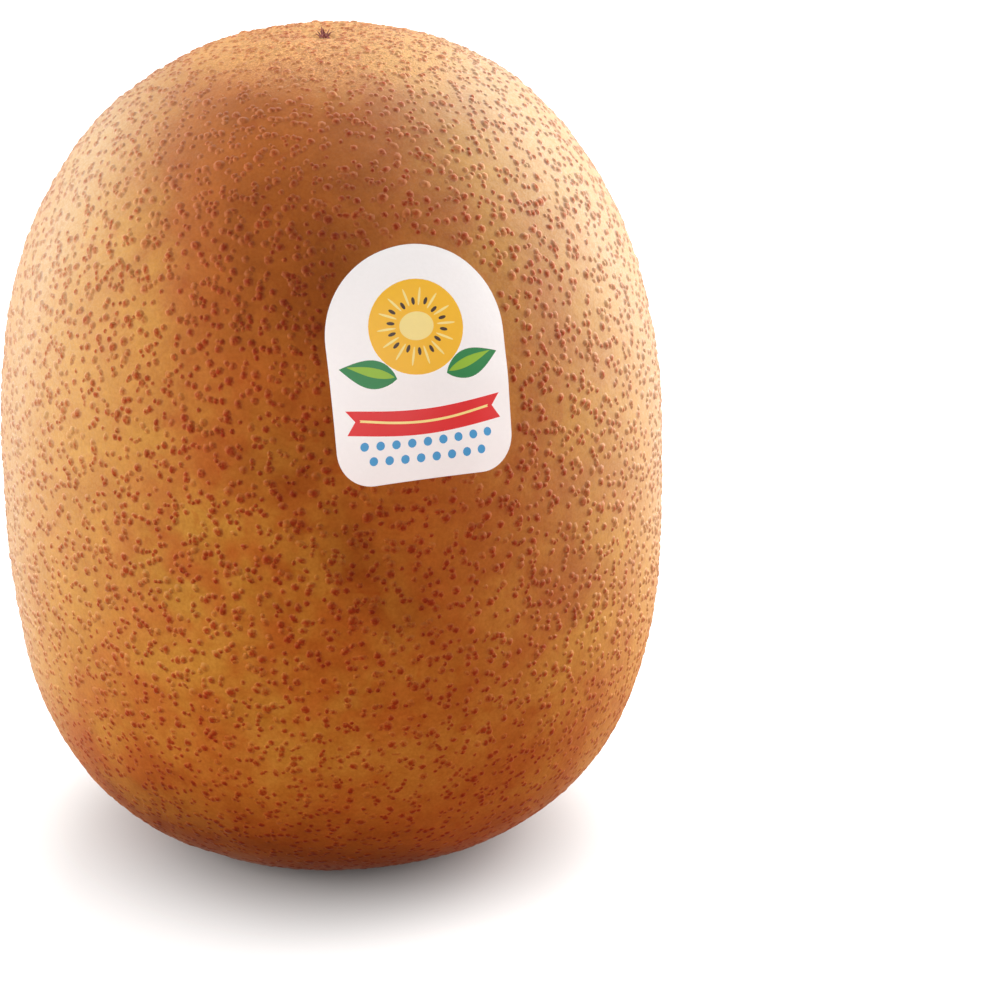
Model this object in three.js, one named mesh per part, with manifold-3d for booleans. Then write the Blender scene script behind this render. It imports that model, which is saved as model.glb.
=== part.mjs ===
// A whole golden kiwi fruit, standing on the flattened stem end that such a fruit grows with.
//
// The fruit is one solid: a blunt ovoid, a little flatter from front to back than from side to
// side, whose smooth skin carries raised corky pores (lenticels). The dead remains of the flower
// sit in a dimple at the top, the woody scar of the stalk sits in a pit at the bottom, and a
// plain fruit label is stuck on the front. Those three are pieces of their own.
//
// Millimetres, +Z up. The origin is the middle of the rest spot, and the label faces -Y.

import * as THREE from "three";
import { ConvexHull } from "three/addons/math/ConvexHull.js";
import { mergeVertices } from "three/addons/utils/BufferGeometryUtils.js";
import Module from "manifold-3d";

// ---- driving dimensions -----------------------------------------------------------------------

const GIRTH_WIDTH = 59.3; // widest, side to side
const GIRTH_DEPTH = 57.2; // widest, front to back
const CROWN_RISE = 41.1; // from the widest girth up to the blossom end
const BASE_DROP = 33.85; // from the widest girth down to the stem end, before it is flattened
const CROWN_BLUNTNESS = 2.33; // superellipse exponents: 2 is an ellipse, more is blunter
const BASE_BLUNTNESS = 2.9;
const REST_CUT = 0.35; // how much of the stem end the rest spot flattens

// The core of the fruit isn't quite straight: it moves sideways by these cubic terms of t,
// where t is the height above the girth as a share of SWAY_SPAN.
const SWAY_SPAN = 40;
const SWAY = [-0.9, -0.3, 1.1];

// Broad swells (+) and flats (-): towards a direction, over an angular reach, by a height in mm.
const SWELLS = [
  { towards: [-0.3, 0.3, 0.9], reach: 0.32, height: -0.15 },
  { towards: [-0.2, -0.72, 0.66], reach: 0.42, height: -0.3 },
  { towards: [0.55, -0.7, -0.3], reach: 0.4, height: 0.25 },
  { towards: [-0.6, -0.65, -0.3], reach: 0.35, height: -0.2 },
  { towards: [0.1, 0.9, -0.1], reach: 0.5, height: 0.3 },
];

// Blossom end: a shallow dimple, off the axis, with a small socket for the dried styles.
const BLOSSOM_OFFSET_X = -0.85;
const DIMPLE_RADIUS = 5.2;
const DIMPLE_DEPTH = 0.55;
const SOCKET_RADIUS = 0.95;
const SOCKET_DEPTH = 0.6;
const SOCKET_WALL = [0.8, 1.2]; // from its floor to its rim, as shares of its radius

// Stem end: the pit that holds the stalk's scar, inside the ring that the fruit stands on.
const STEM_PIT_FLOOR_RADIUS = 4.1;
const STEM_PIT_RIM_RADIUS = 5.4;
const STEM_PIT_DEPTH = 1.3;
const REST_RING_RADIUS = 8.3;

// Raised pores.
const LENTICEL_COUNT = 880;
const LENTICEL_SIDES = 5;
const LENTICEL_RADIUS = [0.38, 0.56]; // smallest and largest foot
const LENTICEL_HEIGHT = [0.6, 0.72]; // as a share of the radius
const LENTICEL_JITTER = 0.9; // how far one strays from its even place
const POLE_CROWDING = 0.35; // how much closer they stand towards both ends
const LABEL_CLEARANCE = 0.9; // bare skin kept round the label
const REST_CLEARANCE = 0.4; // no pore stands where the skin is lower than this

// The faces of the skin meet at the pores, at rings of points round both ends, and at even
// points wherever no pore is near. A ring is [radius, count of points].
const SMOOTH_SKIN_POINTS = 900;
const SMOOTH_SKIN_SPACING = 1.9; // from the middle of the nearest pore
const BLOSSOM_RINGS = [
  [0, 1],
  [0.72 * SOCKET_RADIUS, 7],
  [1.22 * SOCKET_RADIUS, 9],
  [0.4 * DIMPLE_RADIUS, 10],
  [0.7 * DIMPLE_RADIUS, 13],
];
const STEM_RINGS = [
  [0, 1],
  [0.5 * STEM_PIT_FLOOR_RADIUS, 9],
  [STEM_PIT_FLOOR_RADIUS, 17],
  [STEM_PIT_RIM_RADIUS, 20],
  [0.5 * (STEM_PIT_RIM_RADIUS + REST_RING_RADIUS), 22],
  [REST_RING_RADIUS, 24],
];

// Label.
const LABEL_WIDTH = 15.2;
const LABEL_HEIGHT = 19.4;
const LABEL_DOME_HEIGHT = 7.6;
const LABEL_CORNER_RADIUS = 3.0;
const LABEL_THICKNESS = 0.2;
const LABEL_GAP = 0.3; // it rides on the pores, so its back is this far off the skin between them
const LABEL_TURN = THREE.MathUtils.degToRad(2.5); // anticlockwise, seen from outside
const LABEL_AZIMUTH = THREE.MathUtils.degToRad(15.2); // from -Y towards +X
const LABEL_RISE = 19.95; // of its middle, above the girth
const LABEL_RINGS = 5; // rings of points from its middle to its edge
const LABEL_RING_POINTS = 44;

// Dried styles.
const STYLE_COUNT = 11;
const STYLE_SIDES = 4;
const STYLE_ROOT_RADIUS = 0.13;
const STYLE_LENGTH = [0.45, 0.9];
const STYLE_LEAN = [0.3, 1.1]; // from upright, in radians
const STYLE_CORE_RADIUS = 0.45;
const STYLE_CORE_RISE = 0.3; // out of the socket
const PIECE_GAP = 0.3; // between pieces that touch

// Stem scar.
const SCAR_RADIUS = 2.5;
const SCAR_THICKNESS = 0.66;
const SEPAL_COUNT = 5;
const SEPAL_REACH = 3.7;
const SEPAL_HALF_WIDTH = 0.62;
const SEPAL_THICKNESS = 0.3;

// ---- derived values ---------------------------------------------------------------------------

const HALF_WIDTH = GIRTH_WIDTH / 2;
const HALF_DEPTH = GIRTH_DEPTH / 2;
const GIRTH_HEIGHT = BASE_DROP - REST_CUT;
const GOLDEN_ANGLE = Math.PI * (3 - Math.sqrt(5));

const wasm = await Module();
wasm.setup();

// ---- small helpers ----------------------------------------------------------------------------

const mix = (low, high, share) => low + (high - low) * share;

function smoothStep(low, high, value) {
  const share = THREE.MathUtils.clamp((value - low) / (high - low), 0, 1);
  return share * share * (3 - 2 * share);
}

// A fixed pseudo-random number from 0 to 1 for the item of that index.
function scatter(index, stream) {
  const wave = Math.sin(index * 12.9898 + stream * 78.233) * 43758.5453;
  return wave - Math.floor(wave);
}

// Two unit vectors square to a unit direction.
function sideways(direction) {
  const helper = Math.abs(direction.z) < 0.9 ? new THREE.Vector3(0, 0, 1) : new THREE.Vector3(1, 0, 0);
  const first = new THREE.Vector3().crossVectors(helper, direction).normalize();
  const second = new THREE.Vector3().crossVectors(direction, first);
  return [first, second];
}

// A closed solid of manifold-3d from a closed three.js geometry.
function solidFrom(geometry) {
  const bare = new THREE.BufferGeometry();
  bare.setAttribute("position", geometry.getAttribute("position").clone());
  if (geometry.index) bare.setIndex(geometry.index.clone());
  const merged = mergeVertices(bare, 1e-4);
  return new wasm.Manifold(
    new wasm.Mesh({
      numProp: 3,
      vertProperties: new Float32Array(merged.attributes.position.array),
      triVerts: new Uint32Array(merged.index.array),
    }),
  );
}

function geometryFrom(solid) {
  const mesh = solid.getMesh();
  const geometry = new THREE.BufferGeometry();
  geometry.setAttribute("position", new THREE.BufferAttribute(new Float32Array(mesh.vertProperties), 3));
  geometry.setIndex(new THREE.BufferAttribute(new Uint32Array(mesh.triVerts), 1));
  return geometry;
}

function geometryFromTriangles(points, triangles) {
  const geometry = new THREE.BufferGeometry();
  geometry.setAttribute("position", new THREE.Float32BufferAttribute(points.flatMap((p) => p.toArray()), 3));
  geometry.setIndex(triangles.flat());
  return geometry;
}

// ---- the skin as a formula --------------------------------------------------------------------

function axisSway(heightAboveGirth) {
  const t = heightAboveGirth / SWAY_SPAN;
  return SWAY[0] * t + SWAY[1] * t * t + SWAY[2] * t * t * t;
}

const swells = SWELLS.map(({ towards, reach, height }) => ({
  towards: new THREE.Vector3(...towards).normalize(),
  reach,
  height,
}));

// The point of the bare skin, without pores, in a unit direction from the middle of the girth.
function skinPoint(direction) {
  const bluntness = mix(BASE_BLUNTNESS, CROWN_BLUNTNESS, smoothStep(-1, 1, direction.z));
  const spread = Math.hypot(direction.x, direction.y);
  let size = (spread ** bluntness + Math.abs(direction.z) ** bluntness) ** (-1 / bluntness);
  for (const swell of swells) {
    const angle = direction.angleTo(swell.towards);
    size += (swell.height / HALF_WIDTH) * Math.exp(-((angle / swell.reach) ** 2));
  }
  const rise = direction.z > 0 ? CROWN_RISE : BASE_DROP;
  let above = direction.z * rise * size;
  const x = direction.x * HALF_WIDTH * size + axisSway(above);
  const y = direction.y * HALF_DEPTH * size;
  if (direction.z > 0) {
    const fromBlossom = Math.hypot(x - BLOSSOM_OFFSET_X, y);
    above -= DIMPLE_DEPTH * (1 - smoothStep(0, DIMPLE_RADIUS, fromBlossom));
    above -= SOCKET_DEPTH * (1 - smoothStep(...SOCKET_WALL, fromBlossom / SOCKET_RADIUS));
  } else {
    above = Math.max(above, -GIRTH_HEIGHT);
    above += STEM_PIT_DEPTH * (1 - smoothStep(STEM_PIT_FLOOR_RADIUS, STEM_PIT_RIM_RADIUS, Math.hypot(x, y)));
  }
  return new THREE.Vector3(x, y, above + GIRTH_HEIGHT);
}

// The unit direction in which the skin passes under or over a point.
function directionTowards(point) {
  const above = point.z - GIRTH_HEIGHT;
  return new THREE.Vector3(
    (point.x - axisSway(above)) / HALF_WIDTH,
    point.y / HALF_DEPTH,
    above / (above > 0 ? CROWN_RISE : BASE_DROP),
  ).normalize();
}

function skinNormal(direction) {
  const step = 0.01;
  const [first, second] = sideways(direction);
  const shifted = (side, amount) => skinPoint(direction.clone().addScaledVector(side, amount).normalize());
  const along = shifted(first, step).sub(shifted(first, -step));
  const across = shifted(second, step).sub(shifted(second, -step));
  return along.cross(across).normalize();
}

// ---- label outline and its place on the skin --------------------------------------------------

// A plain domed label: rounded bottom corners, straight sides and half an ellipse on top.
function labelOutline() {
  const half = LABEL_WIDTH / 2;
  const bottom = -LABEL_HEIGHT / 2;
  const shoulder = LABEL_HEIGHT / 2 - LABEL_DOME_HEIGHT;
  const corner = LABEL_CORNER_RADIUS;
  const shape = new THREE.Shape();
  shape.moveTo(0, bottom);
  shape.lineTo(half - corner, bottom);
  shape.absarc(half - corner, bottom + corner, corner, -Math.PI / 2, 0, false);
  shape.lineTo(half, shoulder);
  shape.absellipse(0, shoulder, half, LABEL_DOME_HEIGHT, 0, Math.PI, false, 0);
  shape.lineTo(-half, bottom + corner);
  shape.absarc(corner - half, bottom + corner, corner, Math.PI, 1.5 * Math.PI, false);
  shape.closePath();
  return shape;
}

const labelMiddle = (() => {
  const spread = 0.9 * HALF_WIDTH;
  const aim = new THREE.Vector3(
    spread * Math.sin(LABEL_AZIMUTH),
    -spread * Math.cos(LABEL_AZIMUTH),
    GIRTH_HEIGHT + LABEL_RISE,
  );
  const direction = directionTowards(aim);
  const point = skinPoint(direction);
  const normal = skinNormal(direction);
  const level = new THREE.Vector3(0, 0, 1).cross(normal).normalize();
  const upright = normal.clone().cross(level);
  const right = level
    .clone()
    .multiplyScalar(Math.cos(LABEL_TURN))
    .addScaledVector(upright, Math.sin(LABEL_TURN));
  return { point, right, up: normal.clone().cross(right), reach: point.z - GIRTH_HEIGHT };
})();

// The skin's direction at a place on the label, which keeps its lengths as it wraps round.
function labelDirection(across, up) {
  const bend = Math.hypot(HALF_WIDTH, labelMiddle.reach);
  const distance = Math.hypot(across, up);
  const stretch = distance > 0 ? (bend * Math.tan(distance / bend)) / distance : 1;
  const flat = labelMiddle.point
    .clone()
    .addScaledVector(labelMiddle.right, across * stretch)
    .addScaledVector(labelMiddle.up, up * stretch);
  return directionTowards(flat);
}

function labelPoint(across, up, offSkin) {
  const direction = labelDirection(across, up);
  return skinPoint(direction).addScaledVector(skinNormal(direction), offSkin);
}

// Whether a point of the skin lies under the label or close beside it.
function nearLabel(point) {
  const offset = point.clone().sub(labelMiddle.point);
  const across = Math.abs(offset.dot(labelMiddle.right));
  const up = Math.abs(offset.dot(labelMiddle.up));
  const within =
    across < LABEL_WIDTH / 2 + LABEL_CLEARANCE && up < LABEL_HEIGHT / 2 + LABEL_CLEARANCE;
  return within && point.y < 0;
}

// ---- fruit ------------------------------------------------------------------------------------

// Share of the skin's area above each polar angle, so that even shares give even spacing.
function areaTable(steps) {
  const table = [0];
  for (let i = 0; i < steps; i++) {
    const polar = (Math.PI * (i + 0.5)) / steps;
    const ring = skinPoint(new THREE.Vector3(Math.sin(polar), 0, Math.cos(polar)));
    const next = skinPoint(new THREE.Vector3(Math.sin(polar + 0.01), 0, Math.cos(polar + 0.01)));
    const crowding = 1 + POLE_CROWDING * Math.cos(polar) ** 4;
    table.push(table[i] + Math.abs(ring.x) * ring.distanceTo(next) * crowding);
  }
  return table.map((sum) => sum / table[steps]);
}

// Directions spread evenly over the skin on a golden-angle spiral.
function spiralDirections(count) {
  const steps = 360;
  const table = areaTable(steps);
  let step = 0;
  return Array.from({ length: count }, (_, i) => {
    const share = (i + 0.5) / count;
    while (table[step + 1] < share) step++;
    const polar = (Math.PI * (step + (share - table[step]) / (table[step + 1] - table[step]))) / steps;
    const turn = i * GOLDEN_ANGLE;
    const spread = Math.sin(polar);
    return new THREE.Vector3(spread * Math.cos(turn), spread * Math.sin(turn), Math.cos(polar));
  });
}

// The skin's direction a distance away from a direction, across its tangent plane.
function directionBeside(direction, distance, turn) {
  const [first, second] = sideways(skinNormal(direction));
  const beside = skinPoint(direction)
    .addScaledVector(first, distance * Math.cos(turn))
    .addScaledVector(second, distance * Math.sin(turn));
  return directionTowards(beside);
}

function clearOfEnds(point) {
  const fromBlossom = Math.hypot(point.x - BLOSSOM_OFFSET_X, point.y);
  const inDimple = point.z > GIRTH_HEIGHT && fromBlossom < DIMPLE_RADIUS;
  const inStemPit = point.z < GIRTH_HEIGHT && Math.hypot(point.x, point.y) < REST_RING_RADIUS;
  return !inDimple && !inStemPit && point.z > REST_CLEARANCE;
}

// Every pore: its direction, the radius of its foot and its height.
function lenticels() {
  const found = [];
  spiralDirections(LENTICEL_COUNT).forEach((even, i) => {
    const direction = directionBeside(even, LENTICEL_JITTER * scatter(i, 1), 2 * Math.PI * scatter(i, 2));
    const point = skinPoint(direction);
    if (nearLabel(point) || !clearOfEnds(point)) return;
    const radius = mix(...LENTICEL_RADIUS, scatter(i, 3) ** 2);
    const height = radius * mix(...LENTICEL_HEIGHT, scatter(i, 4));
    found.push({ direction, point, radius, height, turn: 2 * Math.PI * scatter(i, 5) });
  });
  return found;
}

// Rings of directions round an end of the fruit, at radii in mm about a middle.
function endRings(pole, middleX, radii) {
  return radii.flatMap(([radius, count], ring) =>
    Array.from({ length: count }, (_, i) => {
      const turn = (2 * Math.PI * (i + 0.5 * (ring % 2))) / count;
      const x = middleX + radius * Math.cos(turn);
      const y = radius * Math.sin(turn);
      return new THREE.Vector3(x / HALF_WIDTH, y / HALF_DEPTH, pole).normalize();
    }),
  );
}

function fruitGeometry() {
  const pores = lenticels();
  const directions = [
    ...endRings(1, BLOSSOM_OFFSET_X, BLOSSOM_RINGS),
    ...endRings(-1, 0, STEM_RINGS),
  ];
  const points = directions.map(skinPoint);

  for (const pore of pores) {
    const normal = skinNormal(pore.direction);
    directions.push(pore.direction);
    points.push(pore.point.clone().addScaledVector(normal, pore.height));
    for (let side = 0; side < LENTICEL_SIDES; side++) {
      const turn = pore.turn + (2 * Math.PI * side) / LENTICEL_SIDES;
      const foot = directionBeside(pore.direction, pore.radius, turn);
      directions.push(foot);
      points.push(skinPoint(foot));
    }
  }

  for (const direction of spiralDirections(SMOOTH_SKIN_POINTS)) {
    const point = skinPoint(direction);
    const beside = pores.some((pore) => pore.point.distanceTo(point) < SMOOTH_SKIN_SPACING);
    if (beside || !clearOfEnds(point)) continue;
    directions.push(direction);
    points.push(point);
  }
  return geometryFromTriangles(points, facesOnSphere(directions));
}

// The hull of points on a sphere joins each to its nearest neighbours, as one closed surface.
function facesOnSphere(directions) {
  const numbered = directions.map((direction, index) => Object.assign(direction.clone(), { index }));
  const hull = new ConvexHull().setFromPoints(numbered);
  return hull.faces.map((face) => [0, 1, 2].map((corner) => face.getEdge(corner).head().point.index));
}

// ---- label ------------------------------------------------------------------------------------

// A thin sheet that follows the skin: rings of points from its middle out to its outline.
function labelGeometry() {
  const even = labelOutline().getSpacedPoints(LABEL_RING_POINTS).slice(0, LABEL_RING_POINTS);
  const points = [];
  const triangles = [];
  const sheets = [LABEL_GAP + LABEL_THICKNESS, LABEL_GAP].map((offSkin) => {
    const middle = points.push(labelPoint(0, 0, offSkin)) - 1;
    const rings = [];
    for (let ring = 1; ring <= LABEL_RINGS; ring++) {
      const share = ring / LABEL_RINGS;
      rings.push(even.map((p) => points.push(labelPoint(p.x * share, p.y * share, offSkin)) - 1));
    }
    return { middle, rings };
  });
  const last = LABEL_RINGS - 1;
  even.forEach((_, i) => {
    const j = (i + 1) % even.length;
    sheets.forEach(({ middle, rings }, side) => {
      const faces = [[middle, rings[0][i], rings[0][j]]];
      for (let ring = 0; ring < last; ring++) {
        faces.push([rings[ring][i], rings[ring + 1][i], rings[ring + 1][j]]);
        faces.push([rings[ring][i], rings[ring + 1][j], rings[ring][j]]);
      }
      triangles.push(...(side === 0 ? faces : faces.map((face) => face.slice().reverse())));
    });
    const [front, back] = sheets.map(({ rings }) => rings[last]);
    triangles.push([front[i], back[i], back[j]], [front[i], back[j], front[j]]);
  });
  return geometryFromTriangles(points, triangles);
}

// ---- tapered blades and spikes ----------------------------------------------------------------

// A closed loft along a path. section(share) gives the half-width and half-thickness there.
function loft(path, across, sides, section) {
  const points = [];
  const triangles = [];
  path.forEach((middle, k) => {
    const before = path[Math.max(k - 1, 0)];
    const after = path[Math.min(k + 1, path.length - 1)];
    const along = after.clone().sub(before).normalize();
    const thick = along.clone().cross(across).normalize();
    const wide = thick.clone().cross(along);
    const [halfWidth, halfThickness] = section(k / (path.length - 1));
    for (let side = 0; side < sides; side++) {
      const turn = (2 * Math.PI * side) / sides;
      points.push(
        middle
          .clone()
          .addScaledVector(wide, halfWidth * Math.cos(turn))
          .addScaledVector(thick, halfThickness * Math.sin(turn)),
      );
    }
  });
  const lastRing = (path.length - 1) * sides;
  for (let side = 0; side < sides; side++) {
    const next = (side + 1) % sides;
    for (let ring = 0; ring < lastRing; ring += sides) {
      triangles.push([ring + side, ring + next, ring + sides + next]);
      triangles.push([ring + side, ring + sides + next, ring + sides + side]);
    }
    if (side > 0 && side < sides - 1) {
      triangles.push([0, side + 1, side]);
      triangles.push([lastRing, lastRing + side, lastRing + side + 1]);
    }
  }
  const solid = solidFrom(geometryFromTriangles(points, triangles));
  if (solid.volume() > 0) return solid;
  return solidFrom(geometryFromTriangles(points, triangles.map((face) => face.reverse())));
}

function turned(profile, segments) {
  const points = profile.map(([radius, height]) => new THREE.Vector2(radius, height));
  return solidFrom(new THREE.LatheGeometry(points, segments).rotateX(Math.PI / 2));
}

// ---- dried styles -----------------------------------------------------------------------------

// The withered styles of the flower: a stub in the socket with bent, pointed threads out of it.
function driedStylesGeometry() {
  const blossomEnd = new THREE.Vector3(BLOSSOM_OFFSET_X, 0, GIRTH_HEIGHT + CROWN_RISE);
  const skinTop = skinPoint(directionTowards(blossomEnd));
  const mouth = SOCKET_DEPTH;
  const top = mouth + STYLE_CORE_RISE;
  let tuft = turned(
    [
      [0, PIECE_GAP],
      [0.75 * STYLE_CORE_RADIUS, PIECE_GAP],
      [0.95 * STYLE_CORE_RADIUS, mouth],
      [STYLE_CORE_RADIUS, mouth + 0.4 * STYLE_CORE_RISE],
      [0.7 * STYLE_CORE_RADIUS, top],
      [0, top + 0.2 * STYLE_CORE_RISE],
    ],
    10,
  );
  for (let i = 0; i < STYLE_COUNT; i++) {
    const turn = i * GOLDEN_ANGLE + 0.5 * scatter(i, 11);
    const length = mix(...STYLE_LENGTH, scatter(i, 12));
    const lean = mix(...STYLE_LEAN, scatter(i, 13));
    const outward = new THREE.Vector3(Math.cos(turn), Math.sin(turn), 0);
    const root = outward.clone().multiplyScalar(0.45 * STYLE_CORE_RADIUS).setZ(mouth);
    const lift = new THREE.Vector3(0, 0, length * Math.cos(lean));
    const reach = length * Math.sin(lean);
    const middle = root.clone().addScaledVector(outward, 0.35 * reach).addScaledVector(lift, 0.6);
    const tip = root.clone().addScaledVector(outward, reach).add(lift);
    const across = outward.clone().cross(new THREE.Vector3(0, 0, 1));
    const thread = loft([root, middle, tip], across, STYLE_SIDES, (share) => {
      const radius = STYLE_ROOT_RADIUS * mix(1, 0.3, share);
      return [radius, radius];
    });
    tuft = tuft.add(thread);
  }
  return geometryFrom(tuft).translate(skinTop.x, skinTop.y, skinTop.z);
}

// ---- stem scar --------------------------------------------------------------------------------

// The woody scar that the stalk leaves, ridged like a button, with what is left of five sepals.
function stemScarGeometry() {
  const top = STEM_PIT_DEPTH - PIECE_GAP;
  const face = top - SCAR_THICKNESS;
  let scar = turned(
    [
      [0, face + 0.05],
      [0.26 * SCAR_RADIUS, face],
      [0.42 * SCAR_RADIUS, face + 0.24],
      [0.68 * SCAR_RADIUS, face + 0.06],
      [0.86 * SCAR_RADIUS, face + 0.04],
      [SCAR_RADIUS, face + 0.3],
      [0.96 * SCAR_RADIUS, top],
      [0, top],
    ],
    24,
  );
  for (let i = 0; i < SEPAL_COUNT; i++) {
    const turn = (2 * Math.PI * (i + 0.25 * scatter(i, 21))) / SEPAL_COUNT;
    const outward = new THREE.Vector3(Math.cos(turn), Math.sin(turn), 0);
    const reach = SEPAL_REACH * mix(0.86, 1, scatter(i, 22));
    const level = top - 0.55 * SEPAL_THICKNESS;
    const path = [0.7 * SCAR_RADIUS, 0.5 * (SCAR_RADIUS + reach), reach].map((radius, k) =>
      outward.clone().multiplyScalar(radius).setZ(level - 0.06 * k),
    );
    const across = outward.clone().cross(new THREE.Vector3(0, 0, 1));
    const sepal = loft(path, across, 6, (share) => [
      SEPAL_HALF_WIDTH * mix(1, 0.28, share ** 1.5),
      0.5 * SEPAL_THICKNESS * mix(1, 0.55, share),
    ]);
    scar = scar.add(sepal);
  }
  return geometryFrom(scar);
}

// ---- assembly ---------------------------------------------------------------------------------

function named(name, geometry, color, roughness) {
  const material = new THREE.MeshStandardMaterial({ color, roughness, metalness: 0, flatShading: true });
  const mesh = new THREE.Mesh(geometry, material);
  mesh.name = name;
  return mesh;
}

const kiwi = new THREE.Group();
kiwi.add(named("kiwi_fruit", fruitGeometry(), 0xb9772f, 0.5));
kiwi.add(named("dried_styles", driedStylesGeometry(), 0x45230f, 0.9));
kiwi.add(named("stem_scar", stemScarGeometry(), 0x5b3a1f, 0.85));
kiwi.add(named("fruit_label", labelGeometry(), 0xf4f4f2, 0.35));

export default kiwi;
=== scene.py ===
"""Looks of a golden kiwi fruit: its skin and pores, the dead flower, the stalk's scar and a plain label."""

import logging
import math
from dataclasses import dataclass
from enum import Enum

import bpy
import numpy as np
from mathutils import Matrix, Vector
from mathutils.geometry import delaunay_2d_cdt


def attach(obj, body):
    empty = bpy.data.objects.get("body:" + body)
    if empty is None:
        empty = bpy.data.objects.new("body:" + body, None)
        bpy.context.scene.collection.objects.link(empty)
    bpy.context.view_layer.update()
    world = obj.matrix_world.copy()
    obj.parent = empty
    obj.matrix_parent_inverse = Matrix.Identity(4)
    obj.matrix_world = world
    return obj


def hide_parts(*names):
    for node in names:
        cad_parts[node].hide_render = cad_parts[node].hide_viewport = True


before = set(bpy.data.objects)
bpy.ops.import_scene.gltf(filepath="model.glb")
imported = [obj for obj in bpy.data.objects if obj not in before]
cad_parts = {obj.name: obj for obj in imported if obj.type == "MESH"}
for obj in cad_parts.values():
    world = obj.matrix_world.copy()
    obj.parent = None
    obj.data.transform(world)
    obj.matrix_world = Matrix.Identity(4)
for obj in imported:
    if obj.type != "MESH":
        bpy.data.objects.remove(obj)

LOG = logging.getLogger("kiwi")
MM = 0.001
GOLDEN_ANGLE = math.pi * (3 - math.sqrt(5))
ROOT_BODY = "root"

Points = np.ndarray
Colour = tuple[float, float, float]
Socket = bpy.types.NodeSocket
Value = Socket | float
Tint = Socket | Colour


# ---- shared arithmetic --------------------------------------------------------------------------


def smooth_step(low: float, high: float, value: Points) -> Points:
    """Return 0 below low, 1 above high and a smooth rise between them."""
    share = np.clip((value - low) / (high - low), 0, 1)
    return share * share * (3 - 2 * share)


def scatter(index: Points, stream: int) -> Points:
    """Return the fixed pseudo-random number from 0 to 1 of each item of that index."""
    wave = np.sin(index * 12.9898 + stream * 78.233) * 43758.5453
    return wave - np.floor(wave)


def unit(vectors: Points) -> Points:
    """Return the vectors scaled to length 1."""
    return vectors / np.linalg.norm(vectors, axis=-1, keepdims=True)


def sideways(directions: Points) -> tuple[Points, Points]:
    """Find two unit vectors square to each unit direction.

    Args:
        directions: unit vectors, one a row.

    Returns:
        The two sets of unit vectors.
    """
    upright = np.abs(directions[:, 2:3]) < 0.9
    helper = np.where(upright, [[0.0, 0.0, 1.0]], [[1.0, 0.0, 0.0]])
    first = unit(np.cross(helper, directions))
    return first, np.cross(directions, first)


@dataclass(frozen=True)
class Unevenness:
    """A smooth, seeded roughness in space, made of plane waves.

    Args:
        wavelength: middle wavelength in mm.
        height: its usual height.
        seed: what it is drawn from.
        waves: how many plane waves are added up.
    """

    wavelength: float
    height: float
    seed: int
    waves: int = 20

    def at(self, points: Points) -> Points:
        """Find the roughness at each point.

        Args:
            points: points in mm, one a row.

        Returns:
            One height a point, in the unit of height.
        """
        draw = np.random.default_rng(self.seed)
        heading = unit(draw.normal(size=(self.waves, 3)))
        pitch = 2 * math.pi / (self.wavelength * draw.uniform(0.7, 1.5, size=(self.waves, 1)))
        phase = draw.uniform(0, 2 * math.pi, size=self.waves)
        total = np.zeros(len(points))
        for wave, start in zip(heading * pitch, phase):
            total += np.sin(points @ wave + start)
        return total * self.height * math.sqrt(2 / self.waves)


# ---- form of the fruit --------------------------------------------------------------------------


@dataclass(frozen=True)
class Swell:
    """A broad swell or flat of the fruit.

    Args:
        towards: the direction of its middle.
        reach: the angle over which it fades.
        height: about how far its middle stands out in mm, negative for a flat.
    """

    towards: tuple[float, float, float]
    reach: float
    height: float


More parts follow.
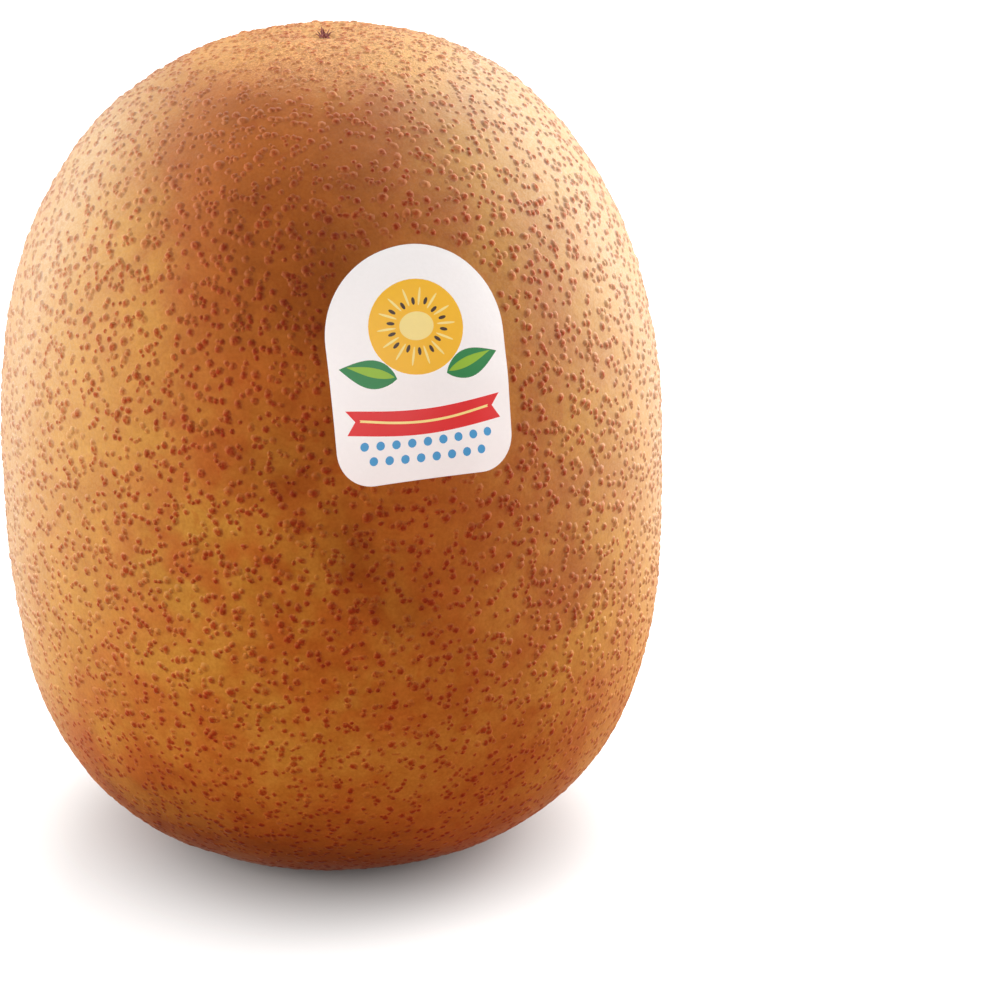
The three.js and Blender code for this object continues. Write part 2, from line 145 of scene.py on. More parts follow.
@dataclass(frozen=True)
class FruitForm:
    """The bare skin as a formula, in mm, in the part's own frame.

    A direction is a unit vector from the middle of the girth, in a space where the fruit is round.

    Args:
        girth_width: the girth from side to side.
        girth_depth: the girth from front to back.
        crown_rise: how far the crown rises above the girth, before the dimple.
        base_drop: how far the base would drop below the girth, if nothing were cut off it.
        crown_bluntness: how square the crown is, where 2 is round.
        base_bluntness: how square the base is.
        rest_cut: how much of the base the rest spot cuts off.
        sway_span: the height over which the core sways.
        sway: how far the core sways, by the first three powers of the height over its span.
        blossom_offset: how far the dried flower stands from the middle, along X.
        dimple_radius: radius of the dimple round the dried flower.
        dimple_depth: its depth.
        socket_radius: radius of the socket that holds the dried flower.
        socket_depth: its depth.
        pit_floor_radius: radius of the floor of the stem end's pit.
        pit_rim_radius: radius of its rim.
        pit_depth: its depth.
        rest_ring_radius: radius of the ring that the fruit stands on.
        swells: its broad swells and flats.
        relief: its fine relief.
    """

    girth_width: float = 59.3
    girth_depth: float = 57.2
    crown_rise: float = 41.1
    base_drop: float = 33.85
    crown_bluntness: float = 2.33
    base_bluntness: float = 2.9
    rest_cut: float = 0.35
    sway_span: float = 40.0
    sway: tuple[float, float, float] = (-0.9, -0.3, 1.1)
    blossom_offset: float = -0.85
    dimple_radius: float = 5.2
    dimple_depth: float = 0.55
    socket_radius: float = 0.62
    socket_depth: float = 0.6
    pit_floor_radius: float = 4.1
    pit_rim_radius: float = 5.4
    pit_depth: float = 1.3
    rest_ring_radius: float = 8.3
    swells: tuple[Swell, ...] = (
        Swell((-0.3, 0.3, 0.9), 0.32, -0.15),
        Swell((-0.2, -0.72, 0.66), 0.42, -0.3),
        Swell((0.55, -0.7, -0.3), 0.4, 0.25),
        Swell((-0.6, -0.65, -0.3), 0.35, -0.2),
        Swell((0.1, 0.9, -0.1), 0.5, 0.3),
    )
    relief: tuple[Unevenness, ...] = (Unevenness(11.0, 0.05, 3), Unevenness(3.4, 0.014, 4))

    @property
    def girth_height(self) -> float:
        """Height of the widest girth above the rest spot."""
        return self.base_drop - self.rest_cut

    @property
    def half_width(self) -> float:
        """Half the girth, side to side."""
        return self.girth_width / 2

    @property
    def half_depth(self) -> float:
        """Half the girth, front to back."""
        return self.girth_depth / 2

    def axis_sway(self, above: Points) -> Points:
        """Return how far the core has moved sideways at each height above the girth."""
        t = above / self.sway_span
        return self.sway[0] * t + self.sway[1] * t**2 + self.sway[2] * t**3

    def smooth(self, directions: Points) -> Points:
        """Find the points of the skin without its fine relief.

        Args:
            directions: unit vectors, one a row.

        Returns:
            The points, one a row.
        """
        dx, dy, dz = directions.T
        change = self.crown_bluntness - self.base_bluntness
        bluntness = self.base_bluntness + change * smooth_step(-1, 1, dz)
        size = (np.hypot(dx, dy) ** bluntness + np.abs(dz) ** bluntness) ** (-1 / bluntness)
        for swell in self.swells:
            towards = unit(np.array(swell.towards))
            angle = np.arccos(np.clip(directions @ towards, -1, 1))
            size = size + (swell.height / self.half_width) * np.exp(-((angle / swell.reach) ** 2))
        crown = dz > 0
        above = dz * np.where(crown, self.crown_rise, self.base_drop) * size
        x = dx * self.half_width * size + self.axis_sway(above)
        y = dy * self.half_depth * size
        out = np.hypot(x - self.blossom_offset, y)
        dimple = self.dimple_depth * (1 - smooth_step(0, self.dimple_radius, out))
        socket = 1 - smooth_step(0.8 * self.socket_radius, 1.2 * self.socket_radius, out)
        pit = 1 - smooth_step(self.pit_floor_radius, self.pit_rim_radius, np.hypot(x, y))
        low = np.maximum(above, -self.girth_height) + self.pit_depth * pit
        above = np.where(crown, above - dimple - self.socket_depth * socket, low)
        return np.stack([x, y, above + self.girth_height], axis=1)

    def skin(self, directions: Points) -> Points:
        """Find the points of the skin with its fine relief, which fades out on the rest ring.

        Args:
            directions: unit vectors, one a row.

        Returns:
            The points, one a row.
        """
        points = self.smooth(directions)
        outward = unit(points - [0, 0, self.girth_height])
        relief = sum(layer.at(points) for layer in self.relief)
        clear = smooth_step(0.0, 1.5, points[:, 2])
        return points + outward * (relief * clear)[:, None]

    def direction_towards(self, points: Points) -> Points:
        """Find the direction in which the skin passes over or under each point.

        Args:
            points: points in mm, one a row.

        Returns:
            Unit directions, one a row.
        """
        above = points[:, 2] - self.girth_height
        rise = np.where(above > 0, self.crown_rise, self.base_drop)
        x = (points[:, 0] - self.axis_sway(above)) / self.half_width
        return unit(np.stack([x, points[:, 1] / self.half_depth, above / rise], axis=1))

    def normals(self, directions: Points, step: float = 0.004, bare: bool = False) -> Points:
        """Find the skin's outward unit normals.

        Args:
            directions: unit vectors, one a row.
            step: how far apart the skin is sampled, as an angle.
            bare: whether the fine relief is left out.

        Returns:
            The unit normals, one a row.
        """
        surface = self.smooth if bare else self.skin
        first, second = sideways(directions)
        along = surface(unit(directions + step * first)) - surface(unit(directions - step * first))
        across = surface(unit(directions + step * second)) - surface(unit(directions - step * second))
        return unit(np.cross(along, across))

    def beside(self, directions: Points, distance: Points, turn: Points) -> Points:
        """Step across the skin's tangent plane.

        Args:
            directions: unit vectors, one a row.
            distance: how far each steps, in mm.
            turn: which way, as an angle.

        Returns:
            The directions that are reached.
        """
        first, second = sideways(self.normals(directions, 0.01, bare=True))
        step = first * (distance * np.cos(turn))[:, None] + second * (distance * np.sin(turn))[:, None]
        return self.direction_towards(self.smooth(directions) + step)

    def from_blossom(self, points: Points) -> Points:
        """Return each point's distance from the blossom's axis."""
        return np.hypot(points[:, 0] - self.blossom_offset, points[:, 1])


@dataclass(frozen=True)
class EvenSpread:
    """Directions spread evenly over the skin on a golden-angle spiral, closer towards both ends.

    Args:
        form: the fruit's form.
        crowding: how much closer they are at the ends, as a share.
        steps: how many rings the skin is measured in.
    """

    form: FruitForm
    crowding: float = 0.35
    steps: int = 360

    def directions(self, count: int) -> Points:
        """Spread that many directions.

        Args:
            count: how many.

        Returns:
            Unit vectors, one a row, from the blossom end to the stem end.
        """
        polar = math.pi * (np.arange(self.steps) + 0.5) / self.steps
        ring = self.form.smooth(self._meridian(polar))
        beyond = self.form.smooth(self._meridian(polar + 0.01))
        share = np.abs(ring[:, 0]) * np.linalg.norm(ring - beyond, axis=1)
        total = np.concatenate([[0], np.cumsum(share * (1 + self.crowding * np.cos(polar) ** 4))])
        index = np.arange(count)
        at = np.interp((index + 0.5) / count, total / total[-1], np.arange(self.steps + 1))
        angle = math.pi * at / self.steps
        turn = index * GOLDEN_ANGLE
        return np.stack([np.sin(angle) * np.cos(turn), np.sin(angle) * np.sin(turn), np.cos(angle)], axis=1)

    @staticmethod
    def _meridian(polar: Points) -> Points:
        """Return directions in the X-Z plane at polar angles."""
        return np.stack([np.sin(polar), np.zeros(len(polar)), np.cos(polar)], axis=1)


# ---- meshes -------------------------------------------------------------------------------------


class MeshMaker:
    """Builds mesh objects from arrays of points in mm and faces of any number of corners."""

    @staticmethod
    def build(name: str, points: Points, faces: list[Points]) -> bpy.types.Object:
        """Build one smooth-shaded mesh object.

        Args:
            name: the object's name.
            points: the vertices in mm, one a row.
            faces: arrays of vertex numbers, each array holding faces with the same number of corners.

        Returns:
            The object, linked to the scene.
        """
        mesh = bpy.data.meshes.new(name)
        corners = np.concatenate([group.ravel() for group in faces]).astype(np.int32)
        sizes = np.concatenate([np.full(len(group), group.shape[1]) for group in faces])
        starts = np.concatenate([[0], np.cumsum(sizes)[:-1]]).astype(np.int32)
        mesh.vertices.add(len(points))
        mesh.vertices.foreach_set("co", (points * MM).astype(np.float32).ravel())
        mesh.loops.add(len(corners))
        mesh.loops.foreach_set("vertex_index", corners)
        mesh.polygons.add(len(sizes))
        mesh.polygons.foreach_set("loop_start", starts)
        mesh.update(calc_edges=True)
        mesh.shade_smooth()
        piece = bpy.data.objects.new(name, mesh)
        bpy.context.scene.collection.objects.link(piece)
        return piece

    @staticmethod
    def paint(piece: bpy.types.Object, name: str, values: Points) -> None:
        """Store one number a vertex on a mesh, for its material to read."""
        layer = piece.data.attributes.new(name, "FLOAT", "POINT")
        layer.data.foreach_set("value", values.astype(np.float32))

    @staticmethod
    def bend_light(piece: bpy.types.Object, normals: Points) -> None:
        """Shade a mesh by those vertex normals."""
        piece.data.normals_split_custom_set_from_vertices(normals.tolist())

    @staticmethod
    def tube(path: Points, radii: Points, sides: int, across: Points) -> tuple[Points, list[Points]]:
        """Make a closed tube with a radius at each point of its path.

        Args:
            path: the middle line, one point a row.
            radii: half-width and half-thickness at each point, one pair a row.
            sides: how many sides the tube has.
            across: the direction of its width.

        Returns:
            The points and the faces.
        """
        along = unit(np.gradient(path, axis=0))
        thick = unit(np.cross(along, across))
        wide = np.cross(thick, along)
        turn = 2 * math.pi * np.arange(sides) / sides
        ring = (
            path[:, None, :]
            + wide[:, None, :] * (radii[:, 0:1] * np.cos(turn))[:, :, None]
            + thick[:, None, :] * (radii[:, 1:2] * np.sin(turn))[:, :, None]
        )
        count = len(path)
        number = np.arange(count * sides).reshape(count, sides)
        after = np.roll(number, -1, axis=1)
        walls = np.stack([number[:-1], number[1:], after[1:], after[:-1]], axis=2).reshape(-1, 4)
        return ring.reshape(-1, 3), [walls, number[0][None, :], number[-1][None, ::-1]]

    @staticmethod
    def domes(count: int, sides: int, rings: int) -> list[Points]:
        """Number the faces of closed domes, each with its rings of points in order and then its tip.

        Args:
            count: how many domes there are.
            sides: how many points each ring has.
            rings: how many rings each dome has.

        Returns:
            The faces.
        """
        size = sides * rings + 1
        start = (np.arange(count) * size)[:, None]
        side = np.arange(sides)
        after = (side + 1) % sides
        groups = [(start + side[::-1])]
        for ring in range(rings - 1):
            low, high = ring * sides, (ring + 1) * sides
            band = np.stack([low + side, low + after, high + after, high + side], axis=1)
            groups.append((start[:, :, None] + band[None]).reshape(-1, 4))
        low = (rings - 1) * sides
        fan = np.stack([low + side, low + after, np.full(sides, size - 1)], axis=1)
        groups.append((start[:, :, None] + fan[None]).reshape(-1, 3))
        return groups

    @staticmethod
    def joined(parts: list[tuple[Points, list[Points]]]) -> tuple[Points, list[Points]]:
        """Put several meshes together.

        Args:
            parts: the points and the faces of each.

        Returns:
            All the points and all the faces.
        """
        offset = 0
        points, faces = [], []
        for part_points, part_faces in parts:
            points.append(part_points)
            faces.extend(group + offset for group in part_faces)
            offset += len(part_points)
        return np.concatenate(points), faces


def install(piece: bpy.types.Object, node: str, materials: list[bpy.types.Material]) -> None:
    """Give a piece its materials, and tell the frame what it rides on and stands for.

    Args:
        piece: the piece.
        node: the solid that it replaces.
        materials: its materials, in the order of its faces' material numbers.
    """
    for material in materials:
        piece.data.materials.append(material)
    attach(piece, ROOT_BODY)
    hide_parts(node)


# ---- finishes -----------------------------------------------------------------------------------


class Board:
    """The node tree of one material, with short calls to wire it. Sizes are in mm."""

    def __init__(self, name: str) -> None:
        """Start a material with one shader and its output.

        Args:
            name: the material's name.
        """
        self.material = bpy.data.materials.new(name)
        self.material.use_nodes = True
        self.tree = self.material.node_tree
        self.shader = self.tree.nodes["Principled BSDF"]
        coordinates = self.tree.nodes.new("ShaderNodeTexCoord")
        scaled = self.tree.nodes.new("ShaderNodeMapping")
        scaled.inputs["Scale"].default_value = (1 / MM, 1 / MM, 1 / MM)
        self.join(coordinates.outputs["Object"], scaled.inputs["Vector"])
        self.place = scaled.outputs["Vector"]

    def join(self, output: Socket, target: Socket) -> None:
        """Wire an output to an input."""
        self.tree.links.new(output, target)

    def feed(self, value: Value | Tint, target: Socket) -> None:
        """Wire an input to an output, or set it to a constant.

        Args:
            value: the output, the number or the colour.
            target: the input.
        """
        if isinstance(value, Socket):
            self.join(value, target)
        elif isinstance(value, tuple) and len(value) == 3 and len(target.default_value) == 4:
            target.default_value = (*value, 1.0)
        else:
            target.default_value = value

    def set(self, **settings: Value | Tint) -> None:
        """Set the shader's sockets, named with underscores for spaces."""
        for name, value in settings.items():
            self.feed(value, self.shader.inputs[name.replace("_", " ")])

    def attribute(self, name: str) -> Socket:
        """Read a number stored on the vertices.

        Args:
            name: what it is stored as. Where a mesh doesn't have it, it reads 0.

        Returns:
            The number.
        """
        node = self.tree.nodes.new("ShaderNodeAttribute")
        node.attribute_name = name
        return node.outputs["Fac"]

    def noise(self, size: float, detail: float = 2.0, rough: float = 0.5, warp: float = 0.0) -> Socket:
        """Add a noise.

        Args:
            size: how wide its grain is.
            detail: how many finer layers it has.
            rough: how strong each finer layer is.
            warp: how far it is twisted.

        Returns:
            Its value, from 0 to 1.
        """
        node = self.tree.nodes.new("ShaderNodeTexNoise")
        node.inputs["Scale"].default_value = 1 / size
        node.inputs["Detail"].default_value = detail
        node.inputs["Roughness"].default_value = rough
        node.inputs["Distortion"].default_value = warp
        self.join(self.place, node.inputs["Vector"])
        return node.outputs["Fac"]

    def between(self, value: Socket, low: float, high: float, to: tuple[float, float] = (0, 1)) -> Socket:
        """Map a value smoothly from one range to another, clamped.

        Args:
            value: the value.
            low: where its range starts.
            high: where its range ends.
            to: the range that it is mapped to.

        Returns:
            The mapped value.
        """
        node = self.tree.nodes.new("ShaderNodeMapRange")
        node.interpolation_type = "SMOOTHSTEP"
        node.inputs["From Min"].default_value = low
        node.inputs["From Max"].default_value = high
        node.inputs["To Min"].default_value = to[0]
        node.inputs["To Max"].default_value = to[1]
        self.join(value, node.inputs["Value"])
        return node.outputs["Result"]

    def add(self, first: Value, second: Value) -> Socket:
        """Return the sum of two values."""
        return self._combine("ADD", first, second)

    def times(self, first: Value, second: Value) -> Socket:
        """Return the product of two values."""
        return self._combine("MULTIPLY", first, second)

    def _combine(self, kind: str, first: Value, second: Value) -> Socket:
        """Combine two values.

        Args:
            kind: the operation.
            first: the first value.
            second: the second value.

        Returns:
            The result.
        """
        node = self.tree.nodes.new("ShaderNodeMath")
        node.operation = kind
        self.feed(first, node.inputs[0])
        self.feed(second, node.inputs[1])
        return node.outputs[0]

    def mix(self, share: Value, low: Tint, high: Tint, kind: str = "MIX") -> Socket:
        """Mix two colours.

        Args:
            share: how much of the second there is.
            low: the first colour.
            high: the second colour.
            kind: how they are blended.

        Returns:
            The mixed colour.
        """
        node = self.tree.nodes.new("ShaderNodeMix")
        node.data_type = "RGBA"
        node.blend_type = kind
        self.feed(share, node.inputs["Factor"])
        self.feed(low, node.inputs[6])
        self.feed(high, node.inputs[7])
        return node.outputs[2]

    def tint(self, colour: Tint, tint: Tint) -> Socket:
        """Return a colour multiplied by another."""
        return self.mix(1.0, colour, tint, "MULTIPLY")

    def bump(self, height: Socket, depth: float) -> None:
        """Raise the shader's surface.

        Args:
            height: the height as a share of the depth.
            depth: the depth.
        """
        node = self.tree.nodes.new("ShaderNodeBump")
        node.inputs["Strength"].default_value = 1.0
        node.inputs["Distance"].default_value = depth * MM
        self.join(height, node.inputs["Height"])
        self.join(node.outputs["Normal"], self.shader.inputs["Normal"])


@dataclass(frozen=True)
class SkinFinish:
    """Tough, waxy skin: golden where pale, reddish-brown where it blushed and where shade is painted in,
    with rusty pores and painted highlights.

    The mesh carries russet_and_painted_shade, which may pass 1, and olive, pale, crumbs_and_highlight, rim
    and spot. Of these, russet_and_painted_shade is blush and painted shade, pale and rim are painted
    highlights, and crumbs_and_highlight is crumbs, partly painted as a highlight. The skin and the pores
    share this finish, with a name, a roughness and a gloss of their own.

    Args:
        name: the material's name.
        gold: the flesh where russet_and_painted_shade is 0.
        russet_and_painted_shade: the reddish-brown flesh where that attribute is 1, standing for blush and
            for painted shade.
        deep_russet_and_shade: the darker flesh where that attribute is far past 1: painted shade on the
            front and the base, and darker blush on the back.
        olive: the flesh in olive patches.
        pore: what the middle of a pore is multiplied by.
        rim: what the edge of a pore is multiplied by, a pale ring that paints a highlight on its flank.
        smudge: what small smudges are multiplied by.
        pale: the pale tangle on both flanks, a painted highlight where the side lights graze the skin.
        crumbs_and_highlight: the crumbs at the crown, pale partly as a painted highlight on its top.
        roughness: middle roughness of the bare skin.
        gloss: how strongly it reflects.
        gleam: colour of its reflections.
        sheen: strength of its soft sheen.
        sheen_roughness: how wide the sheen is.
        sheen_tint: colour of the sheen.
        relief: depth of its finest relief in mm.
    """

    name: str = "kiwi_skin"
    gold: Colour = (0.505, 0.246, 0.036)
    # Blush and painted shade, then the darker flesh where both are strongest.
    russet_and_painted_shade: Colour = (0.37, 0.096, 0.012)
    deep_russet_and_shade: Colour = (0.22, 0.050, 0.004)
    olive: Colour = (0.42, 0.190, 0.024)
    pore: Colour = (0.64, 0.20, 0.12)
    # Painted highlight ring round each pore.
    rim: Colour = (1.12, 1.10, 1.45)
    smudge: Colour = (0.94, 0.79, 0.72)
    # Painted highlight on both flanks.
    pale: Colour = (0.56, 0.415, 0.26)
    crumbs_and_highlight: Colour = (0.88, 0.46, 0.17)
    roughness: float = 0.52
    gloss: float = 0.08
    gleam: Colour = (1.0, 0.75, 0.5)
    sheen: float = 0.09
    sheen_roughness: float = 0.3
    sheen_tint: Colour = (1.0, 0.86, 0.76)
    relief: float = 0.04

    def material(self) -> bpy.types.Material:
        """Build the material.

        Returns:
            The material.
        """
        board = Board(self.name)
        fine = board.noise(1.6, 3.0, 0.6)
        grain = board.noise(0.28, 2.0, 0.6)
        wisp = board.between(board.noise(0.52, 3.0, 0.65, 2.5), 0.42, 0.60, (0.28, 1.0))
        # The crown's pale crumbs are partly real and partly a painted highlight on the crown's top.
        crumbs = board.times(board.attribute("crumbs_and_highlight"), wisp)
        spot = board.attribute("spot")
        flesh = board.mix(crumbs, self._flesh(board, fine, grain), self.crumbs_and_highlight)
        smooth = board.between(fine, 0.2, 0.8, (self.roughness - 0.05, self.roughness + 0.07))
        board.set(
            Base_Color=board.tint(flesh, self._stain(board, spot)),
            Roughness=board.add(smooth, board.times(spot, 0.25)),
            Specular_IOR_Level=self.gloss,
            Specular_Tint=self.gleam,
            Sheen_Weight=self.sheen,
            Sheen_Roughness=self.sheen_roughness,
            Sheen_Tint=self.sheen_tint,
        )
        relief = board.add(board.times(grain, 0.3), board.noise(0.75, 1.0, 0.5))
        board.bump(board.add(relief, board.times(crumbs, 2.0)), self.relief)
        return board.material

    def _flesh(self, board: Board, fine: Socket, grain: Socket) -> Socket:
        """Colour the flesh between the pores, with painted shade and a painted highlight on the flanks in
        it.

        Args:
            board: the material's nodes.
            fine: a noise for its mottling.
            grain: a finer noise for its specks.

        Returns:
            The colour.
        """
        broad = board.noise(7.0, 3.0, 0.55)
        # The reddish attribute mixes blush with painted shade that darkens the front and the base and
        # lightens both sides.
        shifted = board.add(board.attribute("russet_and_painted_shade"), board.between(broad, 0.3, 0.7, (-0.22, 0.22)))
        flesh = board.mix(board.between(shifted, 0.0, 1.0), self.gold, self.russet_and_painted_shade)
        flesh = board.mix(board.between(shifted, 0.85, 1.9), flesh, self.deep_russet_and_shade)
        patch = board.times(board.attribute("olive"), board.between(board.noise(4.0), 0.35, 0.65))
        flesh = board.mix(patch, flesh, self.olive)
        mottle = board.mix(board.between(fine, 0.25, 0.75), (0.93, 0.87, 0.78), (1.06, 1.09, 1.16))
        flesh = board.tint(flesh, mottle)
        speck = board.mix(board.between(grain, 0.3, 0.7), (0.92, 0.89, 0.84), (1.06, 1.09, 1.15))
        flesh = board.tint(flesh, speck)
        smear = board.between(board.noise(1.5, 2.0, 0.6, 0.8), 0.55, 0.72)
        flesh = board.tint(flesh, board.mix(smear, (1.0, 1.0, 1.0), self.smudge))
        # Painted highlight: a pale tangle on both flanks and the upper right, where the side lights graze
        # the skin.
        tangle = board.between(board.noise(0.42, 3.0, 0.6, 2.0), 0.42, 0.62, (0.65, 1.0))
        return board.mix(board.times(board.attribute("pale"), tangle), flesh, self.pale)

    def _stain(self, board: Board, spot: Socket) -> Socket:
        """Colour the pores, with a pale ring round each that paints a highlight.

        Args:
            board: the material's nodes.
            spot: how much each place belongs to the middle of a pore.

        Returns:
            What the flesh is multiplied by, which is white between the pores.
        """
        # Painted highlight: a pale ring on each pore's flank.
        rim = board.mix(board.attribute("rim"), (1.0, 1.0, 1.0), self.rim)
        # Pores are fainter under the painted flank highlight.
        strength = board.between(board.attribute("pale"), 0.0, 1.0, (1.0, 0.80))
        rusty = board.times(strength, board.between(board.noise(0.24, 2.0, 0.6), 0.3, 0.7, (0.6, 1.3)))
        return board.mix(board.between(board.times(spot, rusty), 0.0, 0.9), rim, self.pore)


@dataclass(frozen=True)
class HairFinish:
    """Fine, pale, half-worn-off hairs.

    Args:
        colour: their middle colour.
    """

    colour: Colour = (0.60, 0.35, 0.15)

    def material(self) -> bpy.types.Material:
        """Build the material.

        Returns:
            The material.
        """
        board = Board("kiwi_hair")
        shade = board.mix(board.noise(2.0), (0.8, 0.78, 0.75), (1.15, 1.15, 1.15))
        board.set(
            Base_Color=board.tint(self.colour, shade),
            Roughness=0.55,
            Specular_IOR_Level=0.35,
            Sheen_Weight=0.2,
        )
        return board.material


@dataclass(frozen=True)
class WoodyFinish:
    """Dead, woody plant matter with streaks.

    Args:
        name: the material's name.
        dark: colour of its hollows.
        light: colour of its worn ridges.
        grain: size of its streaks in mm.
        relief: depth of its streaks in mm.
    """

    name: str
    dark: Colour
    light: Colour
    grain: float
    relief: float = 0.08

    def material(self) -> bpy.types.Material:
        """Build the material.

        Returns:
            The material.
        """
        board = Board(self.name)
        streak = board.noise(self.grain, 4.0, 0.65, 1.2)
        board.set(
            Base_Color=board.mix(board.between(streak, 0.3, 0.72), self.dark, self.light),
            Roughness=board.between(streak, 0.2, 0.8, (0.75, 0.95)),
            Specular_IOR_Level=0.25,
        )
        board.bump(streak, self.relief)
        return board.material


class Ink(Enum):
    """What the label is printed with; the value is the colour, and PAPER is the bare sheet."""

    PAPER = (0.93, 0.935, 0.935)
    GOLD = (0.90, 0.50, 0.015)
    CREAM = (0.92, 0.76, 0.28)
    SEED = (0.05, 0.022, 0.012)
    RED = (0.72, 0.012, 0.015)
    LEAF = (0.012, 0.22, 0.055)
    LIME = (0.27, 0.50, 0.02)
    BLUE = (0.05, 0.33, 0.66)


@dataclass(frozen=True)
class LabelFinish:
    """Coated label paper, printed in flat inks.

    Args:
        roughness: middle roughness of the sheet.
        coat: strength of its coat.
        coat_roughness: roughness of the coat.
        relief: depth of its fibres in mm.
    """

    roughness: float = 0.42
    coat: float = 0.08
    coat_roughness: float = 0.2
    relief: float = 0.012

    def material(self, ink: Ink) -> bpy.types.Material:
        """Build the material of one ink.

        Args:
            ink: the ink.

        Returns:
            The material.
        """
        board = Board(f"label_{ink.name.lower()}")
        fibre = board.noise(0.35, 3.0, 0.6)
        worn = board.mix(board.between(fibre, 0.3, 0.7), (0.99, 0.99, 0.99), (1.005, 1.005, 1.005))
        board.set(
            Base_Color=board.tint(ink.value, worn),
            Roughness=board.between(fibre, 0.2, 0.8, (self.roughness - 0.04, self.roughness + 0.06)),
            Coat_Weight=self.coat,
            Coat_Roughness=self.coat_roughness,
        )
        board.bump(fibre, self.relief)
        return board.material


# ---- label's place ------------------------------------------------------------------------------


@dataclass(frozen=True)
class LabelSeat:
    """Where the label sits, and how its flat sheet wraps round the fruit with little stretching.

    Args:
        form: the fruit's form.
        width: width of the flat sheet in mm.
        height: its height in mm.
        dome: height of its domed top in mm.
        corner: radius of its lower corners in mm.
        turn: how far it is turned on the skin, as an angle.
        azimuth: how far it is from the front towards +X, as an angle.
        rise: how far above the girth it is aimed, in mm.
        spread: how far out it is aimed, as a share of half the girth's width.
    """

    form: FruitForm
    width: float = 15.2
    height: float = 19.4
    dome: float = 7.6
    corner: float = 3.0
    turn: float = math.radians(2.5)
    azimuth: float = math.radians(15.2)
    rise: float = 19.95
    spread: float = 0.9

    def frame_there(self) -> tuple[Points, Points, Points]:
        """Find the label's place on the skin.

        Returns:
            Its middle in mm, its right direction and its up direction.
        """
        spread = self.spread * self.form.half_width
        x, y = spread * math.sin(self.azimuth), -spread * math.cos(self.azimuth)
        aim = np.array([[x, y, self.form.girth_height + self.rise]])
        direction = self.form.direction_towards(aim)
        normal = self.form.normals(direction, 0.01, bare=True)[0]
        level = unit(np.cross([0, 0, 1], normal))
        right = math.cos(self.turn) * level + math.sin(self.turn) * np.cross(normal, level)
        return self.form.smooth(direction)[0], right, np.cross(normal, right)

    def directions(self, flat: Points) -> Points:
        """Find the skin's direction at places of the flat sheet.

        Args:
            flat: distances across and up from the label's middle, in mm, one pair a row.

        Returns:
            Unit directions, one a row.
        """
        middle, right, up = self.frame_there()
        bend = math.hypot(self.form.half_width, middle[2] - self.form.girth_height)
        distance = np.maximum(np.linalg.norm(flat, axis=1, keepdims=True), 1e-9)
        spread = flat * (bend * np.tan(distance / bend) / distance)
        return self.form.direction_towards(middle + spread[:, 0:1] * right + spread[:, 1:2] * up)

    def outline(self, steps: int = 14, spacing: float = 0.5) -> Points:
        """Trace the sheet's outline: straight sides, rounded lower corners, half an ellipse on top.

        Args:
            steps: points on each quarter turn.
            spacing: most that points stand apart on the straight sides, in mm.

        Returns:
            The outline anticlockwise, one point a row.
        """
        half, foot, shoulder = self.width / 2, -self.height / 2, self.height / 2 - self.dome
        quarter = np.linspace(0, math.pi / 2, steps)
        right = np.stack([np.cos(quarter - math.pi / 2), np.sin(quarter - math.pi / 2)], axis=1)
        right = [half - self.corner, foot + self.corner] + self.corner * right
        arch = np.linspace(0, math.pi, 3 * steps)
        top = np.stack([half * np.cos(arch), shoulder + self.dome * np.sin(arch)], axis=1)
        left = right[::-1] * [-1, 1]
        corners = np.concatenate([right, top, left])
        sides = []
        for start, end in zip(corners, np.roll(corners, -1, axis=0)):
            count = math.ceil(np.linalg.norm(end - start) / spacing)
            sides.append(start + (end - start) * np.arange(count)[:, None] / max(count, 1))
        return np.concatenate(sides)

    def inside(self, points: Points, margin: float) -> Points:
        """Tell which points of the skin lie under the sheet, or within a margin beside it.

        Args:
            points: points of the skin, one a row.
            margin: the margin in mm, negative to stay under the sheet.

        Returns:
            True or False for each point.
        """
        middle, right, up = self.frame_there()
        offset = points - middle
        across, along = np.abs(offset @ right), offset @ up
        shoulder = self.height / 2 - self.dome
        above = np.clip((along - shoulder) / (self.dome + margin), 0, 1)
        half = (self.width / 2 + margin) * np.sqrt(1 - above**2)
        fits = (across < half) & (along > -self.height / 2 - margin) & (along < self.height / 2 + margin)
        return fits & (points[:, 1] < 0)


# ---- skin ---------------------------------------------------------------------------------------


@dataclass(frozen=True)
class Patch:
    """A soft patch of another hue.

    Args:
        towards: the direction of its middle.
        reach: the angle over which it fades.
        share: how strong its middle is.
    """

    towards: tuple[float, float, float]
    reach: float
    share: float

    def at(self, directions: Points) -> Points:
        """Return the patch's share in each direction."""
        angle = np.arccos(np.clip(directions @ unit(np.array(self.towards)), -1, 1))
        return self.share * np.exp(-((angle / self.reach) ** 2))


